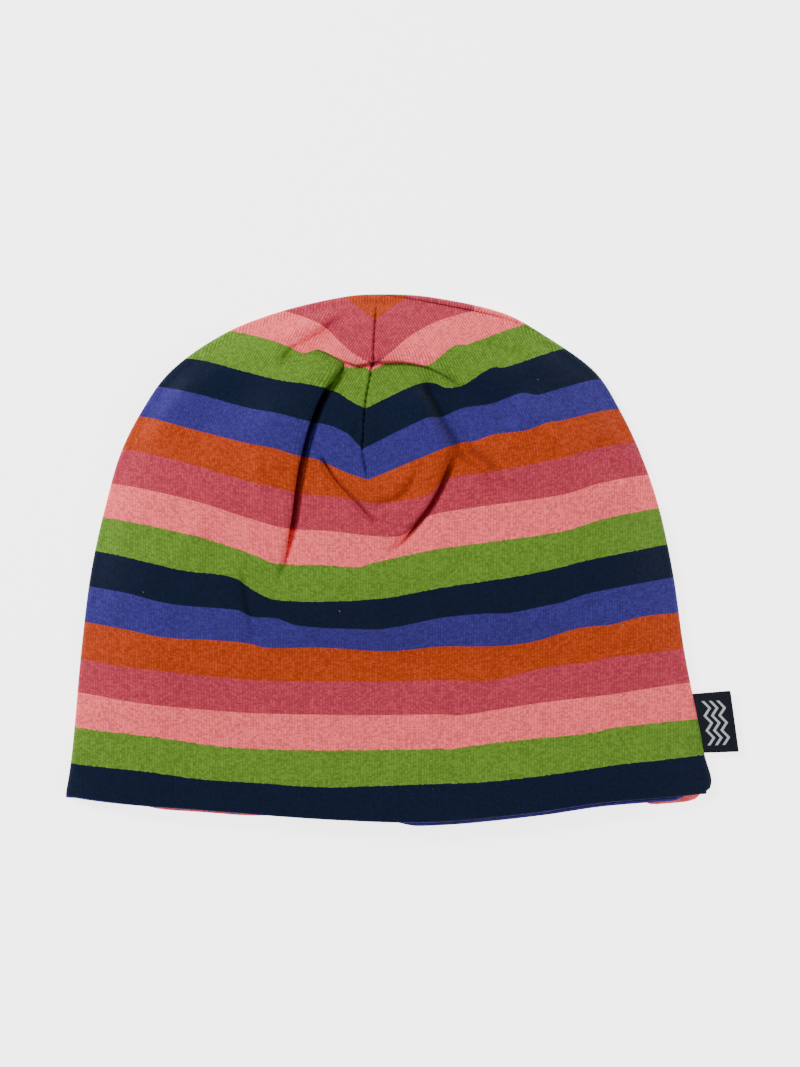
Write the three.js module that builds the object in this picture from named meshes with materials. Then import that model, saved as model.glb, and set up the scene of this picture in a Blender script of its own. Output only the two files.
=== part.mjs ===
// A child's double-layer jersey beanie nightcap, lying flat on its back with the hem towards -Y.
// Millimetres, +Z up. It is four sewn sheets, outer and lining, front and back, and a folded label.
import * as THREE from "three";

// Driving dimensions
const HEM_WIDTH = 250; // hem laid flat, side seam to side seam
const HEIGHT = 205; // lowest point of the hem to the top of the crown
const CLOTH = 1.1; // outer jersey
const LINING_CLOTH = 1.0; // lining jersey
const SEAM_GAP = 0.3; // clearance between sewn sheets
const LINING_EDGE = 1.2; // how far the linings' side edges stay inside the rolled edge
const LINING_SLACK = 0.5; // how far the front lining hangs below the outer front
const HEM_RISE = 12; // top of the front hem above the floor
const CROWN_RISE = 20; // top of the crown's plateau above the floor
const EDGE_SLOPE = 18; // how quickly the cap rises inwards from its rolled edge
const BACK_SHOW = 2.6; // widest strip of the back panel that shows above the crown seam
const BACK_PEEK = 1.5; // how far the back hem reaches out below the front hem
const DART_DEPTH = 1.0;
const DART_WIDTH = 3.0;
const FOLD_DEPTH = 5.2; // the deepest dip of the folds, which the front lining stays clear of
const LABEL_WIDTH = 22.7; // along the side seam
const LABEL_REACH = 14.2; // out of the side seam
const LABEL_CLOTH = 0.45;
const LABEL_FOLD_GAP = 0.5; // between the label's two leaves
const LABEL_CLEAR = 0.5; // between the label's sewn end and the rolled edge
const LABEL_UP = 0.19; // middle of the label, as a share of HEIGHT
const LABEL_TILT = 3.7; // degrees that the label's free end points up the cap

// Sizes that follow
const HALF_HEM = HEM_WIDTH / 2;
const STACK = 2 * CLOTH + 2 * LINING_CLOTH + 2 * SEAM_GAP + LINING_SLACK; // four sheets at the side seam
const ROLL = STACK / 2; // radius of the rolled edge, with the seam at its middle
const PATCH_INSET = 1.5 * ROLL; // where the rolled edge hands over to the open sheet
const EDGE_RISE = 2 * ROLL;
const BACK_LINING_TOP = CLOTH + SEAM_GAP + LINING_CLOTH;
const LINING_REST = BACK_LINING_TOP + SEAM_GAP + LINING_CLOTH; // lowest that the front lining may hang
const HALF_GAP_ANGLE = SEAM_GAP / 2 / (ROLL - CLOTH);

// Fineness of the sheets
const FRONT_CELLS = { across: 38, up: 30 };
const BACK_CELLS = { across: FRONT_CELLS.across, up: 9 }; // the crown seam's knots match the front's
const LINING_CELLS = { across: 20, up: 13 };
const EDGE_CROWDING = 0.35; // how much closer together the grid lines lie at the edges
const CORNER_SHARPNESS = 12; // how late the grid's base leaves the hem line for the corner
const ROLL_STEPS = 3;
const HEM_STEPS = 2;
const INNER_TURN = 0.1; // how far the hem's inner face follows its rounding
const LABEL_TURN_STEPS = 4;
const OUTLINE_SAMPLES = 160;

// Outline by height: half widths to the left and right, as shares of half the hem width
const OUTLINE_ROWS = [
  { up: 0.052, left: 0.997, right: 0.986 },
  { up: 0.08, left: 0.992, right: 1.0 },
  { up: 0.165, left: 0.975, right: 0.97 },
  { up: 0.316, left: 0.957, right: 0.919 },
  { up: 0.467, left: 0.926, right: 0.885 },
  { up: 0.6, left: 0.878, right: 0.837 },
  { up: 0.694, left: 0.833, right: 0.783 },
  { up: 0.77, left: 0.771, right: 0.724 },
  { up: 0.845, left: 0.684, right: 0.646 },
  { up: 0.921, left: 0.522, right: 0.486 },
  { up: 0.958, left: 0.358, right: 0.361 },
  { up: 0.996, left: 0.132, right: 0.116 },
];
const CROWN_TOP = { across: -0.039, up: 1.0 };
const SHOULDER = { left: 0.37, right: 0.63 }; // where the sides hand over to the crown, along the outline

// Front hem line: rise above the lowest point, as a share of HEIGHT
const HEM_ROWS = [
  { across: -1.0, up: 0.05 },
  { across: -0.77, up: 0.033 },
  { across: -0.58, up: 0.0255 },
  { across: -0.26, up: 0.0104 },
  { across: 0.15, up: 0.0 },
  { across: 0.28, up: 0.0047 },
  { across: 0.485, up: 0.0198 },
  { across: 0.674, up: 0.0387 },
  { across: 1.0, up: 0.052 },
];

// Where the back hem reaches out: places across as shares of HALF_HEM, and share of BACK_PEEK
const BACK_PEEKS = [
  { from: -0.8, full: -0.6, ease: -0.45, to: -0.25, share: 1 },
  { from: 0.8, full: 0.92, ease: 1.1, to: 1.2, share: 0.6 },
];

// Height of the plateau, from the hem to the crown, as a share of the way from HEM_RISE to CROWN_RISE
const RISE_ROWS = [
  { up: 0.0, share: 0.0 },
  { up: 0.16, share: 0.06 },
  { up: 0.3, share: 0.3 },
  { up: 0.45, share: 0.75 },
  { up: 0.62, share: 1.0 },
  { up: 0.82, share: 0.95 },
  { up: 1.0, share: 0.65 },
];

// Folds in plan, each on three points (across and up). A step is high on the right of its way.
// Depth is a share of FOLD_DEPTH; wall, reach and width are shares of HALF_HEM.
const STEPS = [
  {
    name: "left deep fold", way: [[-0.13, 0.87], [-0.262, 0.7], [-0.345, 0.43]],
    depth: 1.5, wall: 0.02, reach: 0.15,
  },
  {
    name: "right deep fold", way: [[0.175, 0.75], [0.15, 0.634], [-0.03, 0.501]],
    depth: 1.2, wall: 0.022, reach: 0.14,
  },
  {
    name: "right soft fold", way: [[0.075, 0.825], [0.14, 0.765], [0.175, 0.7]],
    depth: 0.6, wall: 0.05, reach: 0.13,
  },
  {
    name: "crown tuck", way: [[0.2, 0.852], [-0.04, 0.868], [-0.25, 0.886]],
    depth: 1.1, wall: 0.02, reach: 0.12,
  },
  {
    name: "upper left step", way: [[-0.11, 0.98], [-0.21, 0.936], [-0.33, 0.87]],
    depth: 0.6, wall: 0.03, reach: 0.1,
  },
  {
    name: "lower left step", way: [[-0.455, 0.485], [-0.44, 0.407], [-0.4, 0.33]],
    depth: 0.75, wall: 0.035, reach: 0.12,
  },
  {
    name: "belly roll", way: [[0.5, 0.415], [0.0, 0.345], [-0.42, 0.385]],
    depth: 1.4, wall: 0.1, reach: 0.28,
  },
];

// Ridges (depth above nought) and valleys (below nought)
const WAVES = [
  { name: "tip crescent", way: [[-0.19, 0.672], [-0.135, 0.63], [-0.045, 0.572]], depth: -0.6, width: 0.025 },
  { name: "tip smile", way: [[-0.09, 0.606], [0.0, 0.612], [0.07, 0.65]], depth: -0.4, width: 0.035 },
  { name: "right small valley", way: [[0.21, 0.71], [0.3, 0.685], [0.36, 0.63]], depth: -0.4, width: 0.035 },
  { name: "upper right valley", way: [[0.18, 0.82], [0.3, 0.79], [0.42, 0.757]], depth: -0.5, width: 0.055 },
  { name: "right shoulder ridge", way: [[0.34, 0.785], [0.46, 0.72], [0.58, 0.68]], depth: 0.4, width: 0.08 },
  { name: "right edge valley", way: [[0.6, 0.705], [0.68, 0.68], [0.75, 0.66]], depth: -0.3, width: 0.06 },
  { name: "left edge valley", way: [[-0.4, 0.835], [-0.55, 0.763], [-0.66, 0.7]], depth: -0.5, width: 0.08 },
  { name: "left shoulder ridge", way: [[-0.36, 0.78], [-0.4, 0.7], [-0.4, 0.6]], depth: 0.4, width: 0.09 },
];
const DART_WAY_ROWS = [[-0.036, 0.99], [-0.07, 0.79], [-0.06, 0.634]];
const FOLD_FADES = { start: 0.25, end: 0.7 }; // shares of a fold's way where it has risen and begins to fade
const FOLD_SAMPLES = 14;
const FOLD_INSIDE = 7 * ROLL; // folds have their full height this far inside the edge
const LINING_INSIDE = 5 * ROLL; // the lining has its full dip this far inside the edge
// Places up where the lining dips below the folds, and its share of the dip at the middle one
const LINING_DIP = { start: 0.02, middle: 0.26, end: 0.38, share: 0.7 };
const CROWN_FROM = 0.9; // share of HEIGHT above which the back panel may show
const BACK_STRIP_END = 0.5; // right end of the strip that shows, as a share of HALF_HEM

const lerp = THREE.MathUtils.lerp;
const smooth = (low, high, value) => THREE.MathUtils.smoothstep(value, low, high);

// Smooth curve through plan points
function planCurve(points) {
  const knots = points.map(([x, y]) => new THREE.Vector3(x, y, 0));
  return new THREE.CatmullRomCurve3(knots, false, "centripetal");
}

// Value of a named column at a place along a table, eased between its rows
function tableValue(rows, key, column, place) {
  const last = rows.length - 1;
  const inside = THREE.MathUtils.clamp(place, rows[0][key], rows[last][key]);
  let index = 0;
  while (index < last - 1 && rows[index + 1][key] < inside) index += 1;
  const low = rows[index];
  const high = rows[index + 1];
  const share = (inside - low[key]) / (high[key] - low[key]);
  const slopeAt = (k) => {
    const before = rows[Math.max(k - 1, 0)];
    const after = rows[Math.min(k + 1, last)];
    return (after[column] - before[column]) / (after[key] - before[key]);
  };
  const span = high[key] - low[key];
  const square = share * share;
  const cube = square * share;
  const level = (2 * cube - 3 * square + 1) * low[column] + (3 * square - 2 * cube) * high[column];
  const bend = (cube - 2 * square + share) * slopeAt(index) + (cube - square) * slopeAt(index + 1);
  return level + span * bend;
}

// Outline in plan, from the left hem corner over the crown to the right hem corner
function makeOutline() {
  const left = OUTLINE_ROWS.map((row) => [-row.left * HALF_HEM, row.up * HEIGHT + CLOTH]);
  const right = OUTLINE_ROWS.map((row) => [row.right * HALF_HEM, row.up * HEIGHT + CLOTH]);
  left.splice(-1, 1, [left.at(-1)[0], OUTLINE_ROWS.at(-1).up * HEIGHT]);
  right.splice(-1, 1, [right.at(-1)[0], OUTLINE_ROWS.at(-1).up * HEIGHT]);
  const top = [CROWN_TOP.across * HALF_HEM, CROWN_TOP.up * HEIGHT];
  return planCurve([...left, top, ...right.reverse()]);
}

const OUTLINE = makeOutline();
const OUTLINE_POINTS = OUTLINE.getSpacedPoints(OUTLINE_SAMPLES);

// Point of the outline moved inwards, at a share of the outline's length
function insetPoint(share, inset) {
  const point = OUTLINE.getPointAt(share);
  const way = OUTLINE.getTangentAt(share);
  return new THREE.Vector2(point.x + way.y * inset, point.y - way.x * inset);
}

// Distance of a plan point from a chain of points, with its side and its share of the way
function nearest(points, x, y) {
  let best = { distance: Infinity, side: 1, share: 0 };
  for (let k = 0; k < points.length - 1; k += 1) {
    const a = points[k];
    const b = points[k + 1];
    const dx = b.x - a.x;
    const dy = b.y - a.y;
    const along = THREE.MathUtils.clamp(((x - a.x) * dx + (y - a.y) * dy) / (dx * dx + dy * dy), 0, 1);
    const offX = x - a.x - along * dx;
    const offY = y - a.y - along * dy;
    const distance = Math.hypot(offX, offY);
    if (distance < best.distance) {
      const side = dx * offY - dy * offX > 0 ? -1 : 1; // 1 on the right of the way
      best = { distance, side, share: (k + along) / (points.length - 1) };
    }
  }
  return best;
}

// A fold's way in plan
function foldWay(way) {
  const points = way.map(([across, up]) => [across * HALF_HEM, up * HEIGHT]);
  return planCurve(points).getSpacedPoints(FOLD_SAMPLES);
}

const STEP_WAYS = STEPS.map((step) => foldWay(step.way));
const WAVE_WAYS = WAVES.map((wave) => foldWay(wave.way));
const DART_WAY = foldWay(DART_WAY_ROWS);

// A fold fades out at both ends
function endFade(share) {
  return smooth(0, FOLD_FADES.start, share) * (1 - smooth(FOLD_FADES.end, 1, share));
}

// Height that the folds add to the front at a plan point
function foldHeight(x, y) {
  let height = 0;
  STEPS.forEach((step, index) => {
    const near = nearest(STEP_WAYS[index], x, y);
    const away = near.distance / HALF_HEM;
    const drop = 0.5 * step.depth * FOLD_DEPTH * Math.exp(-((away / step.reach) ** 2));
    height += near.side * drop * Math.tanh(away / step.wall) * endFade(near.share);
  });
  WAVES.forEach((wave, index) => {
    const near = nearest(WAVE_WAYS[index], x, y);
    const away = near.distance / HALF_HEM;
    height += wave.depth * FOLD_DEPTH * Math.exp(-((away / wave.width) ** 2)) * endFade(near.share);
  });
  const dart = nearest(DART_WAY, x, y);
  return height - DART_DEPTH * Math.exp(-((dart.distance / DART_WIDTH) ** 2));
}

// Height of the front's plain pillow at a plan point
function pillowHeight(x, y) {
  const inside = Math.max(nearest(OUTLINE_POINTS, x, y).distance - ROLL, 0);
  const share = tableValue(RISE_ROWS, "up", "share", y / HEIGHT);
  const plateau = lerp(HEM_RISE, CROWN_RISE, share);
  return EDGE_RISE + (plateau - EDGE_RISE) * (1 - Math.exp(-inside / EDGE_SLOPE));
}

// Outer face of the front, with the folds fading out towards the rolled edge
function frontHeight(x, y) {
  const inside = nearest(OUTLINE_POINTS, x, y).distance;
  return pillowHeight(x, y) + foldHeight(x, y) * smooth(ROLL, FOLD_INSIDE, inside);
}

// Upper face of the front lining, which spans below the folds
function liningHeight(x, y) {
  const inside = nearest(OUTLINE_POINTS, x, y).distance;
  const up = y / HEIGHT;
  const lower = smooth(LINING_DIP.start, LINING_DIP.middle, up);
  const upper = lerp(LINING_DIP.share, 1, smooth(LINING_DIP.middle, LINING_DIP.end, up));
  const dip = FOLD_DEPTH * smooth(ROLL, LINING_INSIDE, inside) * lower * upper;
  return Math.max(pillowHeight(x, y) - CLOTH - LINING_SLACK - dip, LINING_REST);
}

function hemLine(x) {
  return tableValue(HEM_ROWS, "across", "up", x / HALF_HEM) * HEIGHT;
}

// The back hem reaches out below the front hem in places
function backHemLine(x) {
  const across = x / HALF_HEM;
  const shares = BACK_PEEKS.map(({ from, full, ease, to, share }) => (
    share * smooth(from, full, across) * (1 - smooth(ease, to, across))
  ));
  return hemLine(x) - BACK_PEEK * Math.max(...shares);
}

// How far round the rolled edge the seam sits, as an angle from the floor side
function seamAngle(share) {
  const point = OUTLINE.getPointAt(share);
  const across = (point.x / HALF_HEM - CROWN_TOP.across) / (BACK_STRIP_END - CROWN_TOP.across);
  const onCrown = point.y > CROWN_FROM * HEIGHT && across > 0 && across < 1;
  const show = onCrown ? Math.sin(Math.PI * across) * (BACK_SHOW / ROLL) : 0;
  return Math.PI / 2 + Math.acos(1 - Math.min(show, 1));
}

// Places of grid lines, closer together at both ends
function gridShares(cells) {
  return Array.from({ length: cells + 1 }, (_, k) => {
    const even = k / cells;
    return lerp(even, 0.5 - 0.5 * Math.cos(Math.PI * even), EDGE_CROWDING);
  });
}

// A plan grid inside the outline: four edges (hem, crown, left, right) blended across
function planGrid(cells, inset, hem) {
  const leftSide = (v) => insetPoint(SHOULDER.left * v, inset);
  const rightSide = (v) => insetPoint(1 - (1 - SHOULDER.right) * v, inset);
  const crown = (u) => insetPoint(lerp(SHOULDER.left, SHOULDER.right, u), inset);
  const cornerLeft = leftSide(0);
  const cornerRight = rightSide(0);
  const base = (u) => {
    const x = lerp(cornerLeft.x, cornerRight.x, u);
    const fit = lerp(cornerLeft.y - hem(cornerLeft.x), cornerRight.y - hem(cornerRight.x), u);
    const ends = Math.abs(2 * u - 1) ** CORNER_SHARPNESS;
    return new THREE.Vector2(x, hem(x) + lerp(CLOTH, fit, ends));
  };
  const rows = gridShares(cells.up).map((v) => gridShares(cells.across).map((u) => {
    const left = leftSide(v);
    const right = rightSide(v);
    const low = base(u);
    const high = crown(u);
    const blend = (key) => {
      const hemward = lerp(cornerLeft[key], cornerRight[key], u);
      const corners = lerp(hemward, lerp(crown(0)[key], crown(1)[key], u), v);
      return lerp(low[key], high[key], v) + lerp(left[key], right[key], u) - corners;
    };
    return new THREE.Vector2(blend("x"), blend("y"));
  }));
  return rows;
}

// Shares of the outline at the grid's edge, from the left hem corner over the crown to the right one
function edgeShares(cells) {
  const up = gridShares(cells.up);
  const across = gridShares(cells.across);
  const left = up.map((v) => SHOULDER.left * v);
  const crown = across.slice(1, -1).map((u) => lerp(SHOULDER.left, SHOULDER.right, u));
  const right = up.map((v) => 1 - (1 - SHOULDER.right) * v).reverse();
  return [...left, ...crown, ...right];
}

// A sheet of cloth under construction: each knot has an outer and an inner point
class Sheet {
  constructor(flip) {
    this.outer = [];
    this.inner = [];
    this.quads = [];
    this.flip = flip;
  }

  add(outer, inner) {
    this.outer.push(outer);
    this.inner.push(inner);
    return this.outer.length - 1;
  }

  // Joins two rows of knots with cells
  weave(low, high) {
    for (let k = 0; k < low.length - 1; k += 1) {
      this.quads.push([low[k], low[k + 1], high[k + 1], high[k]]);
    }
  }

  // Closed body: outer face, inner face and the rims between them
  solid() {
    const count = this.outer.length;
    const triangles = [];
    const edges = new Map();
    const put = (a, b, c) => triangles.push(...(this.flip ? [a, c, b] : [a, b, c]));
    this.quads.forEach(([a, b, c, d]) => {
      put(a, b, c);
      put(a, c, d);
      put(count + a, count + c, count + b);
      put(count + a, count + d, count + c);
      [[a, b], [b, c], [c, d], [d, a]].forEach(([from, to]) => edges.set(`${from} ${to}`, [from, to]));
    });
    edges.forEach(([from, to]) => {
      if (edges.has(`${to} ${from}`)) return;
      put(from, count + from, count + to);
      put(from, count + to, to);
    });
    const geometry = new THREE.BufferGeometry();
    const places = [...this.outer, ...this.inner].flatMap((point) => point.toArray());
    geometry.setAttribute("position", new THREE.Float32BufferAttribute(places, 3));
    geometry.setIndex(triangles);
    geometry.computeVertexNormals();
    return geometry;
  }
}

// An outer panel: open sheet, rolled edge down or up to the seam, and rounded hem.
// side is 1 for the front, whose face is up, and -1 for the back, whose face lies on the floor.
function outerPanel(cells, side, height, hem) {
  const sheet = new Sheet(side < 0);
  const place = (x, y, z, depth) => new THREE.Vector3(x, y, z - side * depth);
  const grid = planGrid(cells, PATCH_INSET, hem);
  const rows = grid.map((row) => row.map(({ x, y }) => {
    const z = height(x, y);
    return sheet.add(place(x, y, z, 0), place(x, y, z, CLOTH));
  }));

  // Rolled edge, ring by ring outwards to the seam
  const shares = edgeShares(cells);
  const top = rows.at(-1);
  const leftEdge = rows.map((row) => row[0]);
  const rightEdge = rows.map((row) => row.at(-1)).reverse();
  let ring = [...leftEdge, ...top.slice(1, -1), ...rightEdge];
  const rings = [ring];
  const flat = PATCH_INSET - ROLL;
  for (let step = 1; step <= ROLL_STEPS; step += 1) {
    const next = shares.map((share) => {
      const seam = side > 0 ? Math.PI - seamAngle(share) : seamAngle(share);
      const way = (flat + ROLL * (seam - HALF_GAP_ANGLE)) * (step / ROLL_STEPS);
      if (way < flat) {
        const spot = insetPoint(share, PATCH_INSET - way);
        const z = height(spot.x, spot.y);
        return sheet.add(place(spot.x, spot.y, z, 0), place(spot.x, spot.y, z, CLOTH));
      }
      const turn = (way - flat) / ROLL;
      const at = (depth) => {
        const radius = ROLL - depth;
        const spot = insetPoint(share, ROLL - radius * Math.sin(turn));
        return new THREE.Vector3(spot.x, spot.y, ROLL + side * radius * Math.cos(turn));
      };
      return sheet.add(at(0), at(CLOTH));
    });
    sheet.weave(ring, next);
    ring = next;
    rings.push(ring);
  }
  rows.slice(1).forEach((row, k) => sheet.weave(rows[k], row));

  // Rounded hem, from the left seam over the open sheet to the right seam
  const outward = rings.slice(1).map((line) => line[0]).reverse();
  const inward = rings.slice(1).map((line) => line.at(-1));
  let edge = [...outward, ...rows[0], ...inward];
  const start = edge.map((knot) => ({ outer: sheet.outer[knot].clone(), inner: sheet.inner[knot].clone() }));
  for (let step = 1; step <= HEM_STEPS; step += 1) {
    const turn = (Math.PI / 2) * (step / HEM_STEPS);
    const next = start.map(({ outer, inner }) => {
      const sink = side * CLOTH * Math.min(Math.abs(outer.z - ROLL) / ROLL, 1);
      const outerPoint = new THREE.Vector3(
        outer.x, outer.y - CLOTH * Math.sin(turn), outer.z - sink * (1 - Math.cos(turn)));
      const innerPoint = new THREE.Vector3(inner.x, inner.y - INNER_TURN * CLOTH * Math.sin(turn), inner.z);
      return sheet.add(outerPoint, innerPoint);
    });
    sheet.weave(next, edge);
    edge = next;
  }
  return sheet.solid();
}

// A lining panel: open sheet inside the rolled edge, with a rounded hem.
// side is 1 for the front lining, whose shown face is down, and -1 for the back lining.
function liningPanel(cells, side, height, hem) {
  const sheet = new Sheet(side > 0);
  const inset = ROLL + LINING_EDGE;
  const bottom = (z) => (side > 0 ? z - LINING_CLOTH : z);
  const back = (z) => (side > 0 ? z : z - LINING_CLOTH);
  const rows = planGrid(cells, inset, hem).map((row) => row.map(({ x, y }) => {
    const z = height(x, y);
    return sheet.add(new THREE.Vector3(x, y, bottom(z)), new THREE.Vector3(x, y, back(z)));
  }));
  rows.slice(1).forEach((row, k) => sheet.weave(rows[k], row));
  const start = rows[0];
  let edge = start;
  for (let step = 1; step <= HEM_STEPS; step += 1) {
    const turn = (Math.PI / 2) * (step / HEM_STEPS);
    const next = start.map((knot) => {
      const outer = sheet.outer[knot];
      const inner = sheet.inner[knot];
      const lift = side * LINING_CLOTH * (1 - Math.cos(turn));
      return sheet.add(
        new THREE.Vector3(outer.x, outer.y - LINING_CLOTH * Math.sin(turn), outer.z + lift),
        new THREE.Vector3(inner.x, inner.y - INNER_TURN * LINING_CLOTH * Math.sin(turn), inner.z));
    });
    sheet.weave(next, edge);
    edge = next;
  }
  return sheet.solid();
}

// A strip folded in two: both ends in the side seam, the fold at its free end
function foldedLabel() {
  const bend = LABEL_FOLD_GAP / 2 + LABEL_CLOTH;
  const straight = LABEL_REACH - bend;
  const sheet = new Sheet(false);
  const half = LABEL_WIDTH / 2 / HEIGHT;
  const seamAt = (up) => {
    const across = tableValue(OUTLINE_ROWS, "up", "right", up);
    return new THREE.Vector2(across * HALF_HEM, up * HEIGHT + CLOTH);
  };
  const seamWay = seamAt(LABEL_UP + half).sub(seamAt(LABEL_UP - half)).normalize();
  const middle = seamAt(LABEL_UP);
  middle.x += LABEL_CLEAR;
  const tilt = THREE.MathUtils.degToRad(LABEL_TILT);
  const outWay = new THREE.Vector2(Math.cos(tilt), Math.sin(tilt));
  const profile = [{ out: 0, lift: bend }, { out: straight, lift: bend }];
  for (let step = 1; step < LABEL_TURN_STEPS; step += 1) {
    const turn = Math.PI * (step / LABEL_TURN_STEPS);
    profile.push({ out: straight + bend * Math.sin(turn), lift: bend * Math.cos(turn) });
  }
  profile.push({ out: straight, lift: -bend }, { out: 0, lift: -bend });
  const centre = { out: straight, lift: 0 };
  const shrink = (bend - LABEL_CLOTH) / bend;
  const rows = [-0.5, 0.5].map((end) => profile.map(({ out, lift }) => {
    const at = (share) => {
      const reach = out > straight ? centre.out + (out - centre.out) * share : out;
      const spot = middle.clone().addScaledVector(seamWay, end * LABEL_WIDTH).addScaledVector(outWay, reach);
      return new THREE.Vector3(spot.x, spot.y, ROLL + lift * share);
    };
    return sheet.add(at(1), at(shrink));
  }));
  sheet.weave(rows[0], rows[1]);
  return sheet.solid();
}

function piece(name, geometry, color) {
  const material = new THREE.MeshStandardMaterial({ color, roughness: 0.9, metalness: 0 });
  const mesh = new THREE.Mesh(geometry, material);
  mesh.name = name;
  return mesh;
}

const cap = new THREE.Group();
cap.add(
  piece("front_panel", outerPanel(FRONT_CELLS, 1, frontHeight, hemLine), "#d98282"),
  piece("back_panel", outerPanel(BACK_CELLS, -1, () => 0, backHemLine), "#0d1b2c"),
  piece("lining_front", liningPanel(LINING_CELLS, 1, liningHeight, hemLine), "#3d448a"),
  piece("lining_back", liningPanel(LINING_CELLS, -1, () => BACK_LINING_TOP, backHemLine), "#d98282"),
  piece("woven_label", foldedLabel(), "#0b1626"),
);

// The origin is the middle of the underside of the whole cap
cap.updateMatrixWorld(true);
const box = new THREE.Box3().setFromObject(cap);
cap.position.set(-(box.min.x + box.max.x) / 2, -(box.min.y + box.max.y) / 2, -box.min.z);

export default cap;
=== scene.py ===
"""A child's double-layer striped jersey beanie nightcap, lying flat on a pale floor.

Shapes are worked out in millimetres, with x across the hem and y up from its lowest point, and become
metres in the shared frame once they are meshes.
"""
import logging
import math
from collections.abc import Callable
from dataclasses import dataclass, field
from enum import Enum

import bpy
import numpy as np
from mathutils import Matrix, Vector


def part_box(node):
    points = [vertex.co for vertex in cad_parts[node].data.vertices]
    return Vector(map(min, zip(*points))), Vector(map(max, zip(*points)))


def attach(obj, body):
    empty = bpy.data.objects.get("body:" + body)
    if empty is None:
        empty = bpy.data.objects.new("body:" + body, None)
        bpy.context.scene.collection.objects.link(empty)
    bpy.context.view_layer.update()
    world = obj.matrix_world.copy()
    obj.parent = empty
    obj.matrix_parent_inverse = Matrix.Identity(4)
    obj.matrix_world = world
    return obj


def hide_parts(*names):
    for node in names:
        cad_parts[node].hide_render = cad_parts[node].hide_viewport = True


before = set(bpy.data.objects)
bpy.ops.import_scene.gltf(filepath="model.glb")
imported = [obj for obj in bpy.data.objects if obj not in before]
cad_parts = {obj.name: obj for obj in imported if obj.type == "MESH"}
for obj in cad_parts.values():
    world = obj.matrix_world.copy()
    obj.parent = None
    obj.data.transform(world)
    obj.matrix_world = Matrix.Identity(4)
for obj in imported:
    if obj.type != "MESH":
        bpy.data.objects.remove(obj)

LOG = logging.getLogger("nightcap")
MM = 0.001
UNIT = 0.3874  # millimetres to one unit of the plan tables
DATUM = (388.5, 822.5)  # middle of the hem and its lowest point, in units across and down
SEED = 7


def plan(across: float, down: float) -> tuple[float, float]:
    """Turns a place of the plan tables into millimetres."""
    return ((across - DATUM[0]) * UNIT, (DATUM[1] - down) * UNIT)


def placed(name: str, data: bpy.types.ID) -> bpy.types.Object:
    """Makes an object of a mesh, a light or a camera and links it to the scene."""
    item = bpy.data.objects.new(name, data)
    bpy.context.scene.collection.objects.link(item)
    return item


def smooth(low: float, high: float, value: np.ndarray) -> np.ndarray:
    """Eases from 0 at low to 1 at high."""
    share = np.clip((value - low) / (high - low), 0.0, 1.0)
    return share * share * (3.0 - 2.0 * share)


def table_value(places: np.ndarray, values: np.ndarray, at: np.ndarray) -> np.ndarray:
    """Eases a value between the rows of a table.

    Args:
        places: The rows' places, rising.
        values: The rows' values, one row each, with any further axes.
        at: Where the value is wanted.

    Returns:
        The values, with the shape of at followed by the values' further axes.
    """
    last = len(places) - 1
    inside = np.clip(at, places[0], places[-1])
    index = np.clip(np.searchsorted(places, inside, side="right") - 1, 0, last - 1)
    before = np.maximum(np.arange(last + 1) - 1, 0)
    after = np.minimum(np.arange(last + 1) + 1, last)
    extra = (1,) * (values.ndim - 1)
    slopes = (values[after] - values[before]) / (places[after] - places[before]).reshape(-1, *extra)
    span = (places[index + 1] - places[index]).reshape(*at.shape, *extra)
    share = ((inside - places[index]).reshape(*at.shape, *extra)) / span
    square = share * share
    cube = square * share
    level = (2 * cube - 3 * square + 1) * values[index] + (3 * square - 2 * cube) * values[index + 1]
    bend = (cube - 2 * square + share) * slopes[index] + (cube - square) * slopes[index + 1]
    return level + span * bend


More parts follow.
